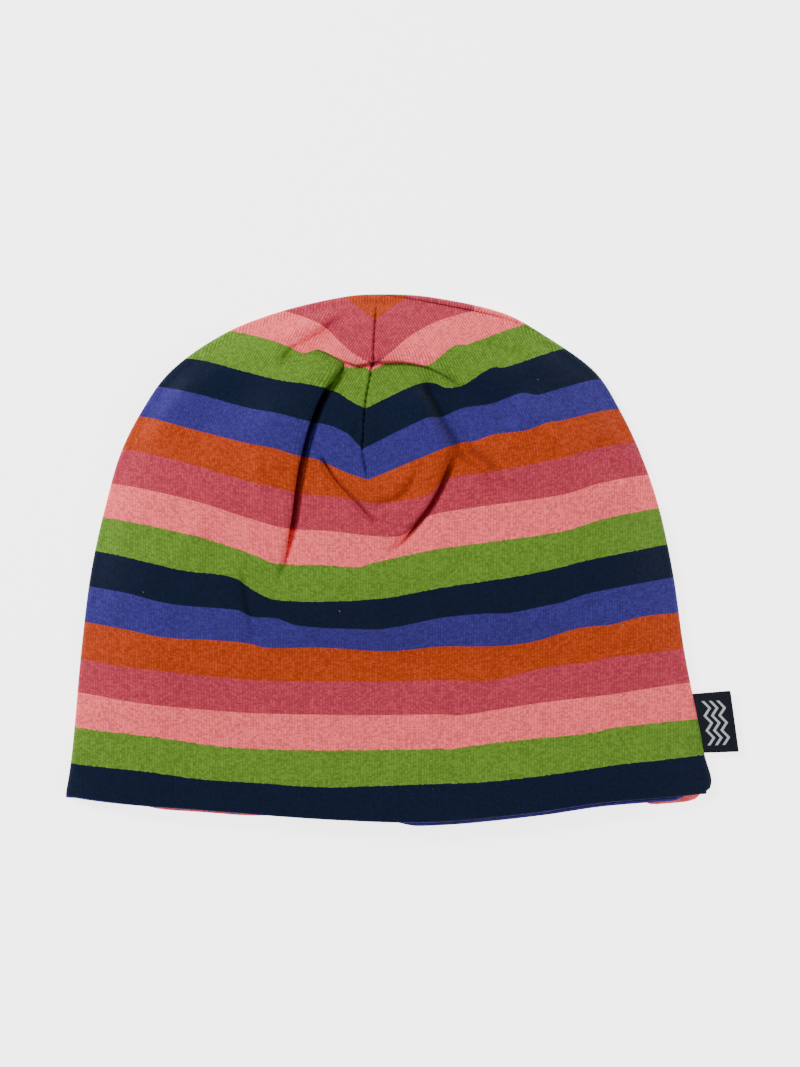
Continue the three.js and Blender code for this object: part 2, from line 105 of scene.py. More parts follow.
class PlanCurve:
    """A smooth curve in plan through a few points, walked by its length."""

    SAMPLES_PER_SPAN = 120

    def __init__(self, points: list[tuple[float, float]]) -> None:
        """Lays a centripetal curve through the points.

        Args:
            points: Plan points in millimetres, in order.
        """
        knots = np.array(points, float)
        knots = np.vstack([2 * knots[0] - knots[1], knots, 2 * knots[-1] - knots[-2]])
        steps = np.sqrt(np.linalg.norm(np.diff(knots, axis=0), axis=1))
        share = np.linspace(0.0, 1.0, self.SAMPLES_PER_SPAN, endpoint=False)[:, None]
        spans = []
        for k in range(1, len(knots) - 2):
            a, b, c, d = knots[k - 1:k + 3]
            before, here, after = steps[k - 1:k + 2]
            start = ((b - a) / before - (c - a) / (before + here) + (c - b) / here) * here
            end = ((c - b) / here - (d - b) / (here + after) + (d - c) / after) * here
            spans.append(b + start * share + (3 * (c - b) - 2 * start - end) * share ** 2
                         + (2 * (b - c) + start + end) * share ** 3)
        self.points = np.vstack([*spans, knots[-2]])
        lengths = np.linalg.norm(np.diff(self.points, axis=0), axis=1)
        self.walked = np.concatenate([[0.0], np.cumsum(lengths)])
        self.length = float(self.walked[-1])

    def at(self, shares: np.ndarray) -> np.ndarray:
        """Gives the points at shares of the length."""
        walked = np.clip(shares, 0.0, 1.0) * self.length
        return np.stack([np.interp(walked, self.walked, self.points[:, k]) for k in (0, 1)], axis=-1)

    def way(self, shares: np.ndarray) -> np.ndarray:
        """Gives the unit directions at shares of the length."""
        reach = 0.002
        step = self.at(shares + reach) - self.at(shares - reach)
        return step / np.linalg.norm(step, axis=-1, keepdims=True)

    def nearest(self, spots: np.ndarray, segments: int) -> tuple[np.ndarray, np.ndarray, np.ndarray]:
        """Measures plan spots against the curve.

        Args:
            spots: Plan points, with x and y on the last axis.
            segments: How many straight pieces stand for the curve.

        Returns:
            The signed distance (above 0 on the right of the curve's way), the share of the length,
            and the unit vector towards the right, for each spot.
        """
        chain = self.at(np.linspace(0.0, 1.0, segments + 1))
        start, step = chain[:-1], np.diff(chain, axis=0)
        flat = spots.reshape(-1, 2)
        signed, share = np.empty(len(flat)), np.empty(len(flat))
        right = np.empty((len(flat), 2))
        squares = (step ** 2).sum(1)
        for low in range(0, len(flat), 6000):
            part = flat[low:low + 6000, None, :] - start[None]
            along = np.clip((part * step).sum(2) / squares, 0.0, 1.0)
            off = part - along[..., None] * step
            gaps = (off ** 2).sum(2)
            best = gaps.argmin(1)
            row = np.arange(len(best))
            turn = step[best, 0] * off[row, best, 1] - step[best, 1] * off[row, best, 0]
            signed[low:low + 6000] = np.where(turn > 0, -1.0, 1.0) * np.sqrt(gaps[row, best])
            share[low:low + 6000] = (best + along[row, best]) / segments
            unit = step[best] / np.sqrt(squares[best])[:, None]
            right[low:low + 6000] = np.stack([unit[:, 1], -unit[:, 0]], axis=1)
        shape = spots.shape[:-1]
        return signed.reshape(shape), share.reshape(shape), right.reshape(*shape, 2)


@dataclass
class Cut:
    """Sizes of the cap that all its sheets share, in millimetres."""

    half_hem: float = 125.0
    height: float = 205.0
    cloth: float = 1.1
    lining_cloth: float = 1.0
    seam_gap: float = 0.3
    roll: float = 2.65
    patch_inset: float = 3.975
    edge_slope: float = 18.0
    hem_rise: float = 12.0
    crown_rise: float = 20.0
    back_show: float = 2.6
    back_strip_end: float = 0.53
    strip_lean: float = 0.9  # above 1 the strip is widest nearer its far end
    crown_across: float = -0.039
    corner_reach: float = 14.0  # how far up the sides the sheets end level with the hem
    lining_dip: float = 5.2
    lining_slack: float = 0.5
    lining_rest: float = 3.7
    back_lining_top: float = 2.4
    lining_edge: float = -0.5
    shoulder_left: float = 0.37
    shoulder_right: float = 0.63
    widest_left: float = 0.997  # the front's leftmost point, as a share of half the hem
    # up, left, right, as shares of the height and of half the hem; the first row is for the left side alone
    outline_rows: tuple = (
        (0.0455, 1.004, 0.985), (0.0525, 1.003, 0.99), (0.0575, 1.0015, 1.0), (0.0654, 0.9995, 1.0045),
        (0.0768, 0.996, 1.0045), (0.12, 0.986, 0.984), (0.165, 0.9785, 0.9705), (0.316, 0.9565, 0.921),
        (0.467, 0.926, 0.885), (0.6, 0.878, 0.837), (0.694, 0.833, 0.783), (0.77, 0.771, 0.724),
        (0.845, 0.684, 0.646), (0.9165, 0.522, 0.486), (0.958, 0.358, 0.361), (0.996, 0.132, 0.116),
    )
    hem_rows: tuple = (  # across, up
        (-1.0, 0.0448), (-0.77, 0.033), (-0.58, 0.0255), (-0.26, 0.0104), (0.03, 0.0022), (0.15, 0.0035),
        (0.28, 0.0092), (0.485, 0.0232), (0.674, 0.0395), (1.0, 0.052),
    )
    rise_rows: tuple = (  # up, share of the way from the hem's rise to the crown's
        (0.0, 0.0), (0.16, 0.06), (0.3, 0.3), (0.45, 0.75), (0.62, 1.0), (0.82, 0.95), (1.0, 0.65),
    )

    def __post_init__(self) -> None:
        """Draws the outline."""
        rows = np.array(self.outline_rows)
        ups = rows[:, 0] * self.height + self.cloth
        ups[-1] -= self.cloth
        left = [(-a * self.half_hem, up) for a, up in zip(rows[:, 1], ups)]
        right = [(a * self.half_hem, up) for a, up in zip(rows[1:, 2], ups[1:])]
        crown = (self.crown_across * self.half_hem, self.height)
        self.outline = PlanCurve([*left, crown, *right[::-1]])

    def inset_point(self, shares: np.ndarray, inset: np.ndarray | float) -> np.ndarray:
        """Gives points of the outline moved inwards."""
        point, way = self.outline.at(shares), self.outline.way(shares)
        inward = np.stack([way[..., 1], -way[..., 0]], axis=-1)
        from_hem = np.minimum(shares, 1.0 - shares) * self.outline.length
        level = (1.0 - smooth(0.0, self.corner_reach, from_hem))[..., None]
        across = np.stack([np.where(shares < 0.5, 1.0, -1.0), np.zeros_like(from_hem)], axis=-1)
        inward = inward + (across - inward) * level
        return point + inward * np.asarray(inset)[..., None]

    def inside(self, spots: np.ndarray) -> np.ndarray:
        """Gives the distance of plan spots from the outline."""
        return np.abs(self.outline.nearest(spots, 200)[0])

    def hem_line(self, x: np.ndarray) -> np.ndarray:
        """Gives the front hem's place up the cap at places across."""
        rows = np.array(self.hem_rows)
        return table_value(rows[:, 0], rows[:, 1], x / self.half_hem) * self.height

    def plateau(self, y: np.ndarray) -> np.ndarray:
        """Gives the height of the unfolded front above the floor, well inside its edge."""
        rows = np.array(self.rise_rows)
        share = table_value(rows[:, 0], rows[:, 1], y / self.height)
        return self.hem_rise + (self.crown_rise - self.hem_rise) * share

    def pillow(self, spots: np.ndarray, inside: np.ndarray) -> np.ndarray:
        """Gives the height of the unfolded front at plan spots."""
        edge = 2 * self.roll
        ease = 1.0 - np.exp(-np.maximum(inside - self.roll, 0.0) / self.edge_slope)
        return edge + (self.plateau(spots[..., 1]) - edge) * ease

    def lining_drop(self, spots: np.ndarray, inside: np.ndarray) -> np.ndarray:
        """Gives how far the front's lining hangs below the front cloth."""
        up = spots[..., 1] / self.height
        upper = 0.7 + 0.3 * smooth(0.26, 0.38, up)
        return self.lining_dip * smooth(self.roll, 5 * self.roll, inside) * smooth(0.02, 0.26, up) * upper

    def seam_angle(self, shares: np.ndarray) -> np.ndarray:
        """Gives how far round the rolled edge the seam sits, from the floor side."""
        point = self.outline.at(shares)
        across = (point[..., 0] / self.half_hem - self.crown_across) / (self.back_strip_end - self.crown_across)
        shown = (point[..., 1] > 0.9 * self.height) & (across > 0.0) & (across < 1.0)
        swell = np.sin(np.pi * np.clip(across, 0.0, 1.0) ** self.strip_lean)
        rise = np.where(shown, swell * self.back_show / self.roll, 0.0)
        return math.pi / 2 + np.arccos(1.0 - np.minimum(rise, 1.0))


@dataclass(frozen=True)
class Fold:
    """A fold of the front along a way in plan, high on the right of the way when it is a step."""

    name: str
    way: tuple[tuple[float, float], ...]  # plan-table units
    depth: float  # whole height of a step, or height (below nought: depth) of a wave
    width: float  # half width of the step's wall, or of the wave
    reach: float = 0.0  # how far a step's height lasts, nought for a wave
    lean: float = 0.0  # how far a step's lip leans over its foot
    crease: float = 0.0  # depth of the slit along a step's foot
    slit: float = 1.0  # half width of the slit
    start: float = 0.25  # share of the way where the fold has risen
    end: float = 0.7  # share of the way where it begins to fade


STEPS = (
    Fold("left deep fold", ((350, 356), (330, 382), (316, 409), (306, 439), (298, 475), (291, 526), (283, 562),
                            (271, 606)), 3.6, 2.2, 17.0, 1.5, 4.2, 1.15, 0.12, 0.62),
    Fold("right deep fold", ((452, 436), (445, 466), (437, 487), (428, 504), (417, 518), (396, 543), (370, 562)),
         3.2, 2.3, 15.0, 1.3, 3.2, 1.1, 0.3, 0.56),
    Fold("crown tuck", ((474, 398), (456, 385), (438, 373), (424, 366), (408, 362), (373, 361.5),
                        (356, 364.5), (336, 357), (318, 351), (294, 352)),
         3.8, 1.9, 12.0, 2.0, 2.2, 1.1, 0.38, 0.75),
    Fold("upper left step", ((352, 303), (324, 327), (303, 341), (287, 352), (274, 380)),
         2.6, 2.6, 10.0, 0.8, 1.5, 1.4, 0.35, 0.7),
    Fold("tip crescent", ((379, 524), (366, 510), (356, 499), (347, 490), (339, 481), (329, 466), (321, 452)),
         2.0, 1.3, 8.0, 0.7, 3.2, 0.75, 0.08, 0.82),
    Fold("tip smile", ((418, 462), (409, 484), (395, 497), (377, 503), (358, 500)),
         2.2, 2.1, 8.0, 0.2, 1.3, 1.5, 0.3, 0.7),
    Fold("right small step", ((511, 500), (498, 479), (490, 466), (475, 455), (452, 442)),
         3.6, 2.3, 9.0, 0.0, 2.8, 1.7, 0.25, 0.75),
    Fold("lower left step", ((240, 556), (243, 581), (247, 607), (250, 623), (257, 652)),
         2.3, 2.6, 12.0, 0.5, 1.1, 1.2, 0.3, 0.65),
    Fold("right soft step", ((418, 376), (431, 402), (442, 424), (453, 443), (466, 462)),
         6.4, 2.3, 12.0, 0.3, 3.0, 2.3, 0.25, 0.75),
    Fold("belly roll", ((600, 640), (480, 628), (388, 632), (300, 622), (236, 640)), 6.4, 13.0, 34.0),
)

WAVES = (
    Fold("right soft crest", ((409, 380), (421, 404), (432, 427), (444, 449)), 0.7, 1.6),
    Fold("dart pocket", ((352, 366), (341, 380), (331, 396)), -1.6, 2.6),
    Fold("right long valley", ((440, 374), (452, 388), (480, 402), (498, 409), (525, 424)), -2.6, 4.4),
    Fold("upper right valley", ((480, 346), (506, 353), (532, 361)), -1.3, 4.0),
    Fold("right shoulder ridge", ((500, 404), (541, 432), (580, 465)), 2.0, 9.0),
    Fold("right edge valley", ((580, 446), (607, 461), (634, 476)), -1.8, 6.0),
    Fold("upper left ridge", ((344, 300), (316, 322), (290, 336)), 1.4, 4.0),
    Fold("left edge valley", ((262, 376), (212, 418), (172, 456)), -2.4, 9.0),
    Fold("left shoulder ridge", ((300, 395), (270, 427), (258, 500)), 2.0, 9.0),
    Fold("far left ridge", ((205, 380), (167, 414), (142, 452)), 1.6, 8.0),
    Fold("dart pucker", ((362, 415), (356, 438), (359, 464)), -1.3, 1.7),
    Fold("purple pucker", ((342, 438), (338, 455), (338, 474)), -0.8, 2.2),
    Fold("left upright ridge", ((261, 450), (260, 478), (259, 512)), 0.8, 2.4),
    Fold("left small ridge", ((202, 500), (200, 530), (204, 568)), 0.9, 3.6),
    Fold("left small valley", ((214, 506), (216, 535), (219, 572)), -0.9, 3.2),
    Fold("left slant ridge", ((176, 574), (186, 546), (202, 518)), 0.7, 3.0),
    Fold("left slant valley", ((134, 566), (146, 538), (163, 508)), -0.7, 3.4),
    Fold("right small ridge", ((486, 596), (515, 612), (560, 616)), 1.0, 7.0),
    Fold("lower left foot", ((262, 598), (282, 617), (304, 628)), -1.2, 3.6),
    Fold("right hem ridge", ((566, 640), (574, 700), (572, 752)), 0.9, 9.0),
    Fold("left hem ridge", ((150, 620), (158, 690), (150, 752)), 0.9, 12.0),
)

DART_WAY = ((377, 296), (375, 330), (373, 363), (366, 404), (364, 436), (363, 452), (366, 468), (369, 487))


@dataclass
class FoldField:
    """The folds that lie in the front: what each does to a plan spot of the unfolded sheet."""

    cut: Cut
    dart_depth: float = 1.9
    dart_width: float = 0.6
    dart_puff: float = 0.7
    puff_width: float = 4.2
    stitch_step: float = 2.6
    fade_from: float = 2.65
    fade_to: float = 10.0
    under_step: float = 0.6  # how much further than the lip a face below keeps back
    roughness: float = 0.28  # height of the slight unevenness of lying cloth
    ripples: int = 14  # how many seeded waves the unevenness adds up
    ripple_lengths: tuple[float, float] = (14.0, 42.0)

    def __post_init__(self) -> None:
        """Lays out the ways."""
        self.ways = {fold.name: PlanCurve([plan(*point) for point in fold.way]) for fold in (*STEPS, *WAVES)}
        self.dart = PlanCurve([plan(*point) for point in DART_WAY])

    def measure(self, fold: Fold, spots: np.ndarray) -> tuple[np.ndarray, np.ndarray, np.ndarray]:
        """Gives plan spots' signed distances from a fold's way, the fold's strength, and the way to its right."""
        signed, share, right = self.ways[fold.name].nearest(spots, 24)
        return signed, smooth(0.0, fold.start, share) * (1.0 - smooth(fold.end, 1.0, share)), right

    def near(self, spots: np.ndarray, inside: np.ndarray, lag: float) -> tuple[np.ndarray, np.ndarray]:
        """Adds up the folds at plan spots.

        Args:
            spots: Plan points of the unfolded sheet.
            inside: Their distances from the outline.
            lag: 0 for the shown face, 1 for a face that stays clear below the lips.

        Returns:
            The height that the folds add, and the plan shift that the leaning lips add.
        """
        height = np.zeros(spots.shape[:-1])
        shift = np.zeros(spots.shape)
        for fold in STEPS:
            signed, fade, right = self.measure(fold, spots)
            signed = signed - lag * (fold.lean + self.under_step)
            ratio = signed / fold.width
            height += 0.5 * fold.depth * np.tanh(ratio) * np.exp(-(signed / fold.reach) ** 2) * fade
            foot = signed + 0.9 * fold.width
            slit = np.where(foot > 0, 1.7, 1.0) * fold.slit
            height -= fold.crease * np.exp(-(foot / slit) ** 2) * fade
            if fold.lean:
                pull = 2.33 * ratio * np.exp(-ratio ** 2) * fold.lean * fade * (1.0 - lag)
                shift -= right * pull[..., None]
        for fold in WAVES:
            signed, fade, _ = self.measure(fold, spots)
            height += fold.depth * np.exp(-(signed / fold.width) ** 2) * fade
        signed, share, _ = self.dart.nearest(spots, 48)
        beads = 0.8 + 0.2 * np.cos(share * self.dart.length / self.stitch_step * 2 * np.pi)
        fade = 1.0 - smooth(0.9, 1.0, share)
        height -= self.dart_depth * beads * np.exp(-(signed / self.dart_width) ** 2) * fade
        height += self.dart_puff * np.exp(-(signed / self.puff_width) ** 2) * fade
        height += self.roughness * self.unevenness(spots)
        edge = smooth(self.fade_from, self.fade_to, inside)
        return height * edge, shift * edge[..., None]

    def unevenness(self, spots: np.ndarray) -> np.ndarray:
        """Gives a slight, seeded rise and fall of lying cloth."""
        draw = np.random.default_rng(SEED)
        total = np.zeros(spots.shape[:-1])
        for _ in range(self.ripples):
            angle = draw.uniform(0, math.tau)
            length = draw.uniform(*self.ripple_lengths)
            phase = draw.uniform(0, math.tau)
            way = np.array([math.cos(angle), math.sin(angle)]) * (math.tau / length)
            total += np.sin(spots @ way + phase) * (length / self.ripple_lengths[1])
        return total / 3.0


@dataclass(frozen=True)
class Boundary:
    """Where a stripe begins: units across and down, on the left and on the right of the dart."""

    number: int  # stripes below it, from the hem up
    left: tuple[tuple[float, float], ...]
    right: tuple[tuple[float, float], ...] = ()  # empty where the boundary passes below the dart


BOUNDARIES = (
    Boundary(0, ((60, 796), (90, 799), (140, 805), (200, 809), (260, 813.5), (320, 818), (372, 820.5),
                 (440, 822.5), (480, 820), (540, 812), (600, 803), (660, 801), (720, 799))),
    Boundary(1, ((60, 763), (90, 766), (140, 770), (200, 778), (260, 782), (320, 786), (372, 785),
                 (440, 782.5), (482, 781), (541, 774.7), (587, 768.4), (615, 764.2), (703, 755.3),
                 (720, 754))),
    Boundary(2, ((60, 727), (75, 728.4), (134, 734), (161, 737), (216, 745), (262, 748.4), (334, 749.5),
                 (390, 749), (440, 748), (453, 748), (503, 741), (587, 732.6), (613, 727.3), (697, 719.4),
                 (720, 717))),
    Boundary(3, ((60, 691), (90, 694), (140, 702), (200, 708), (260, 712), (372, 714), (440, 713.2),
                 (459, 714.3), (503, 707.4), (541, 701.5), (587, 695.8), (608, 693.7), (650, 687.4),
                 (690, 682.5), (720, 679))),
    Boundary(4, ((60, 656), (81, 659), (121, 666), (165, 670.5), (216, 676), (270, 680), (390, 681),
                 (440, 679.5), (482, 680.6), (495, 679.6), (537, 668.4), (570, 663), (587, 662),
                 (608, 656.8), (642, 653.7), (683, 648.8), (720, 644))),
    Boundary(5, ((60, 619), (85, 622.5), (127, 629.5), (165, 637), (216, 639.6), (252, 643), (266, 647),
                 (321, 647), (390, 650.5), (440, 646), (482, 646), (507, 645), (537, 640), (570, 629.5),
                 (587, 626.3), (608, 624.8), (642, 616.4), (679, 613.3), (720, 609))),
    Boundary(6, ((60, 582), (90, 586.5), (130, 593), (161, 601), (186, 604.8), (241, 609.5), (252, 615.5),
                 (277, 617), (298, 624.5), (361, 628.4), (390, 627), (440, 617), (482, 612.6), (507, 612),
                 (541, 605.3), (562, 601), (587, 592.6), (674, 577), (720, 569))),
    Boundary(7, ((60, 547), (95, 551), (140, 560), (186, 570.5), (224, 574.5), (240, 579), (248, 585.5),
                 (270, 598), (283, 600.6), (334, 601), (390, 597), (440, 587.5), (503, 578), (545, 570.5),
                 (587, 560), (660, 546), (720, 535))),
    Boundary(8, ((60, 512), (90, 516), (140, 524), (200, 537), (250, 553), (276, 563), (321, 565),
                 (360, 567), (372, 563), (434, 550), (560, 532), (600, 520), (660, 508), (720, 497))),
    Boundary(9, ((60, 476), (90, 480), (140, 488), (200, 502), (250, 518), (287, 528), (332, 531),
                 (376, 536), (403, 535), (423, 518), (464, 509), (560, 495), (600, 483), (660, 472), (720, 461))),
    Boundary(10, ((60, 440), (90, 444), (140, 452), (200, 467), (250, 482), (289, 491), (299, 494),
                  (352, 499), (376, 503.5), (430, 495), (442, 481), (495, 472), (560, 459), (600, 448),
                  (660, 437), (720, 427))),
    Boundary(11, ((60, 404), (90, 408), (140, 416), (200, 432), (250, 445), (276, 450), (297, 456.5),
                  (319, 461), (334, 468), (350, 475), (368.6, 481)),
             ((368.6, 481), (425, 457.5), (460, 444), (472, 443), (493, 436), (525, 432), (546, 424),
              (560, 422), (600, 412), (660, 402), (720, 392))),
    Boundary(12, ((60, 370), (90, 374), (140, 382), (200, 395), (250, 409), (281, 415), (307, 422),
                  (332, 427), (350, 436), (356, 443), (363, 450)),
             ((363, 450), (425, 420), (440, 418), (462, 409), (491, 404.5), (521, 394), (536, 396),
              (560, 389), (600, 378), (660, 368), (720, 358))),
    Boundary(13, ((60, 335), (90, 340), (140, 348), (200, 360), (250, 374), (281, 382), (309, 386),
                  (336, 393), (356, 405.5), (366, 410)),
             ((366, 410), (419, 385), (434, 384), (446, 389), (464, 386), (491, 369), (503, 369),
              (560, 349), (600, 337), (660, 322), (720, 308))),
    Boundary(14, ((60, 302), (90, 308), (140, 316), (200, 324), (250, 335), (287, 347), (303, 354.5),
                  (319, 351), (342, 361.6), (357, 366), (372.5, 371)),
             ((372.5, 371), (388, 363), (410, 365), (427.6, 367.5), (454, 347), (466, 346), (513, 328),
              (540, 319), (600, 300), (660, 284), (720, 268))),
    Boundary(15, ((60, 266), (140, 281), (200, 290), (260, 303), (289, 311), (325, 328), (340, 343),
                  (355, 357), (373, 367)),
             ((373, 367), (383, 361.6), (400, 346), (409, 338), (434, 323), (468, 311.6), (513, 297),
              (600, 266), (720, 232))),
    Boundary(16, ((60, 231), (200, 257), (320, 283), (345, 297), (376, 321)),
             ((376, 321), (402, 300), (440, 283), (480, 268), (600, 234), (720, 198))),
    Boundary(17, ((60, 196), (200, 222), (320, 247), (376, 285)),
             ((376, 285), (402, 264), (480, 232), (600, 198), (720, 162))),
)


@dataclass
class StripeMap:
    """Where the stripes of the front run: the stripe number, from 0 at the hem, at any plan spot."""

    boundaries: tuple[Boundary, ...] = BOUNDARIES

    def __post_init__(self) -> None:
        """Lays out the dart, where the stripes meet at an angle."""
        self.dart = PlanCurve([plan(*point) for point in DART_WAY]).points

    def dart_across(self, y: np.ndarray) -> np.ndarray:
        """Gives the dart's place across at places up the cap, in millimetres."""
        return np.interp(-y, -self.dart[:, 1], self.dart[:, 0])

    def number(self, spots: np.ndarray) -> np.ndarray:
        """Gives the stripe number at plan spots."""
        down = DATUM[1] - spots[..., 1] / UNIT
        across = DATUM[0] + spots[..., 0] / UNIT
        left = spots[..., 0] < self.dart_across(spots[..., 1])
        levels = np.array([boundary.number for boundary in self.boundaries], float)
        downs = np.stack([self.down(boundary, across, left) for boundary in self.boundaries], axis=-1)
        flat_down, flat = down.reshape(-1), downs.reshape(-1, len(levels))
        low = np.clip((flat >= flat_down[:, None]).sum(1) - 1, 0, len(levels) - 2)
        row = np.arange(len(low))
        share = (flat_down - flat[row, low]) / (flat[row, low + 1] - flat[row, low])
        return (levels[low] + share * (levels[low + 1] - levels[low])).reshape(down.shape)

    @staticmethod
    def down(boundary: Boundary, across: np.ndarray, left: np.ndarray) -> np.ndarray:
        """Gives a boundary's place down at places across, on the given side of the dart."""
        runs = [np.array(run, float) for run in (boundary.left, boundary.right) if run]
        sides = [table_value(run[:, 0], run[:, 1], across) for run in runs]
        return np.where(left, sides[0], sides[-1])


class Sheet:
    """A closed sheet of cloth under construction: each knot has a shown point and a hidden point."""

    HEM_STEPS = 6
    HEM_TURN = 0.94  # of half a circle
    HEM_SLIP = 0.02  # how far the inner row moves up at each step, in millimetres

    def __init__(self, flip: bool) -> None:
        """Starts an empty sheet.

        Args:
            flip: True where the shown face looks down.
        """
        self.shown: list[np.ndarray] = []
        self.hidden: list[np.ndarray] = []
        self.pattern: list[np.ndarray] = []
        self.quads: list[np.ndarray] = []
        self.count = 0
        self.flip = flip

    def add(self, shown: np.ndarray, hidden: np.ndarray, pattern: np.ndarray) -> np.ndarray:
        """Adds knots and gives their numbers, in the same arrangement."""
        shape = shown.shape[:-1]
        self.shown.append(shown.reshape(-1, 3))
        self.hidden.append(hidden.reshape(-1, 3))
        self.pattern.append(pattern.reshape(-1, 2))
        numbers = self.count + np.arange(math.prod(shape)).reshape(shape)
        self.count += numbers.size
        return numbers

    def weave(self, low: np.ndarray, high: np.ndarray) -> None:
        """Joins two rows of knots with cells."""
        self.quads.append(np.stack([low[:-1], low[1:], high[1:], high[:-1]], axis=-1).reshape(-1, 4))

    def weave_grid(self, rows: np.ndarray) -> None:
        """Joins all rows of a grid of knots."""
        for low, high in zip(rows[:-1], rows[1:]):
            self.weave(low, high)

    def add_ring(self, rings: list[np.ndarray], shown: np.ndarray, hidden: np.ndarray,
                 pattern: np.ndarray) -> None:
        """Adds a row of knots outside the last ring and joins the two."""
        ring = self.add(shown, hidden, pattern)
        self.weave(rings[-1], ring)
        rings.append(ring)

    def turn_under(self, edge: np.ndarray, cloth: float, squeeze: float = 1.0, drop: float = 0.0) -> None:
        """Turns an edge under, round most of half a circle.

        Args:
            edge: The knots along the edge.
            cloth: The cloth's thickness.
            squeeze: How much of its breadth the turn keeps past its middle.
            drop: The share of a stripe that each row of knots takes up.
        """
        shown, hidden, pattern = (np.vstack(part)[edge] for part in (self.shown, self.hidden, self.pattern))
        middle, half = 0.5 * (shown[:, 2] + hidden[:, 2]), 0.5 * (shown[:, 2] - hidden[:, 2])
        for step in range(1, self.HEM_STEPS + 1):
            turn = math.pi * self.HEM_TURN * step / self.HEM_STEPS
            out, inner, rolled = shown.copy(), hidden.copy(), pattern.copy()
            out[:, 1] -= cloth * math.sin(turn) * (1.0 if turn < math.pi / 2 else squeeze)
            out[:, 2] = middle + half * math.cos(turn)
            inner[:, 1] += self.HEM_SLIP * step
            rolled[:, 1] -= drop * step
            nearest = self.add(out, inner, rolled)
            self.weave(nearest, edge)
            edge = nearest

    def mesh(self, name: str, shift: np.ndarray) -> bpy.types.Object:
        """Closes the sheet and makes its object.

        Args:
            name: The object's name.
            shift: The frame's place of the plan's origin, in millimetres.

        Returns:
            The new object, with the pattern in its UV map.
        """
        quads = np.vstack(self.quads)
        if self.flip:
            quads = quads[:, ::-1]
        count = self.count
        inner = quads[:, ::-1] + count
        starts = quads.reshape(-1)
        ends = np.roll(quads, -1, axis=1).reshape(-1)
        keys = starts * np.int64(count) + ends
        rim = ~np.isin(ends * np.int64(count) + starts, keys)
        start, end = starts[rim], ends[rim]
        walls = np.stack([end, start, start + count, end + count], axis=1)
        faces = np.vstack([quads, inner, walls])
        places = (np.vstack([*self.shown, *self.hidden]) + shift) * MM
        mesh = bpy.data.meshes.new(name)
        mesh.from_pydata(places.tolist(), [], faces.tolist())
        layer = mesh.uv_layers.new(name="knit")
        pattern = np.vstack([*self.pattern, *self.pattern])
        corners = np.empty(len(mesh.loops), np.int32)
        mesh.loops.foreach_get("vertex_index", corners)
        layer.data.foreach_set("uv", pattern[corners].reshape(-1).astype(np.float32))
        mesh.polygons.foreach_set("use_smooth", np.ones(len(faces), bool))
        mesh.update()
        return placed(name, mesh)


@dataclass
class Weave:
    """How finely a panel's plan is gridded, and where its lines crowd."""

    across: int
    up: int
    crowd_across: tuple[tuple[float, float, float], ...] = ()  # place, half width, strength
    crowd_up: tuple[tuple[float, float, float], ...] = ()
    corner: float = 12.0  # how closely the base keeps to the hem line near its ends

    @staticmethod
    def shares(cells: int, crowds: tuple[tuple[float, float, float], ...]) -> np.ndarray:
        """Places grid lines from 0 to 1, closer where they crowd."""
        fine = np.linspace(0.0, 1.0, 2001)
        density = np.ones_like(fine)
        for place, width, strength in crowds:
            density += strength * np.exp(-((fine - place) / width) ** 2)
        walked = np.concatenate([[0.0], np.cumsum(0.5 * (density[1:] + density[:-1]))])
        return np.interp(np.linspace(0.0, walked[-1], cells + 1), walked, fine)

    def lines(self) -> tuple[np.ndarray, np.ndarray]:
        """Gives the places of the lines across and up."""
        return self.shares(self.across, self.crowd_across), self.shares(self.up, self.crowd_up)

    def grid(self, cut: Cut, inset: float, hem: float, hem_at: Callable[[np.ndarray], np.ndarray]) -> np.ndarray:
        """Blends the outline's sides, the crown and the hem line into a plan grid.

        Args:
            cut: The cap's shared sizes.
            inset: How far inside the outline the grid ends.
            hem: How far above the hem line the grid's base lies.
            hem_at: The hem line as a function of the place across.

        Returns:
            Plan points, rows up the cap and columns across.
        """
        us, vs = self.lines()
        left = cut.inset_point(cut.shoulder_left * vs, inset)
        right = cut.inset_point(1.0 - (1.0 - cut.shoulder_right) * vs, inset)
        crown = cut.inset_point(cut.shoulder_left + (cut.shoulder_right - cut.shoulder_left) * us, inset)
        x = left[0, 0] + (right[0, 0] - left[0, 0]) * us
        rise_left = left[0, 1] - hem_at(left[0, 0:1])[0]
        rise_right = right[0, 1] - hem_at(right[0, 0:1])[0]
        fit = rise_left + (rise_right - rise_left) * us
        ends = np.abs(2.0 * us - 1.0) ** self.corner
        base = np.stack([x, hem_at(x) + hem + (fit - hem) * ends], axis=-1)
        u, v = us[None, :, None], vs[:, None, None]
        corners = ((left[0] * (1 - u) + right[0] * u) * (1 - v) + (crown[0] * (1 - u) + crown[-1] * u) * v)
        return base[None] * (1 - v) + crown[None] * v + left[:, None] * (1 - u) + right[:, None] * u - corners

    def edge_shares(self, cut: Cut) -> np.ndarray:
        """Gives the outline's shares at the grid's edge, from the left hem corner to the right one."""
        us, vs = self.lines()
        left = cut.shoulder_left * vs
        crown = cut.shoulder_left + (cut.shoulder_right - cut.shoulder_left) * us[1:-1]
        right = 1.0 - (1.0 - cut.shoulder_right) * vs
        return np.concatenate([left, crown, right[::-1]])


def raised(spots: np.ndarray, height: np.ndarray) -> np.ndarray:
    """Puts heights on plan spots."""
    return np.concatenate([spots, np.broadcast_to(height, spots.shape[:-1])[..., None]], axis=-1)


def border(rows: np.ndarray) -> np.ndarray:
    """Walks a grid's left side up, its top across and its right side down."""
    return np.concatenate([rows[:, 0], rows[-1, 1:-1], rows[::-1, -1]])


# Finishes


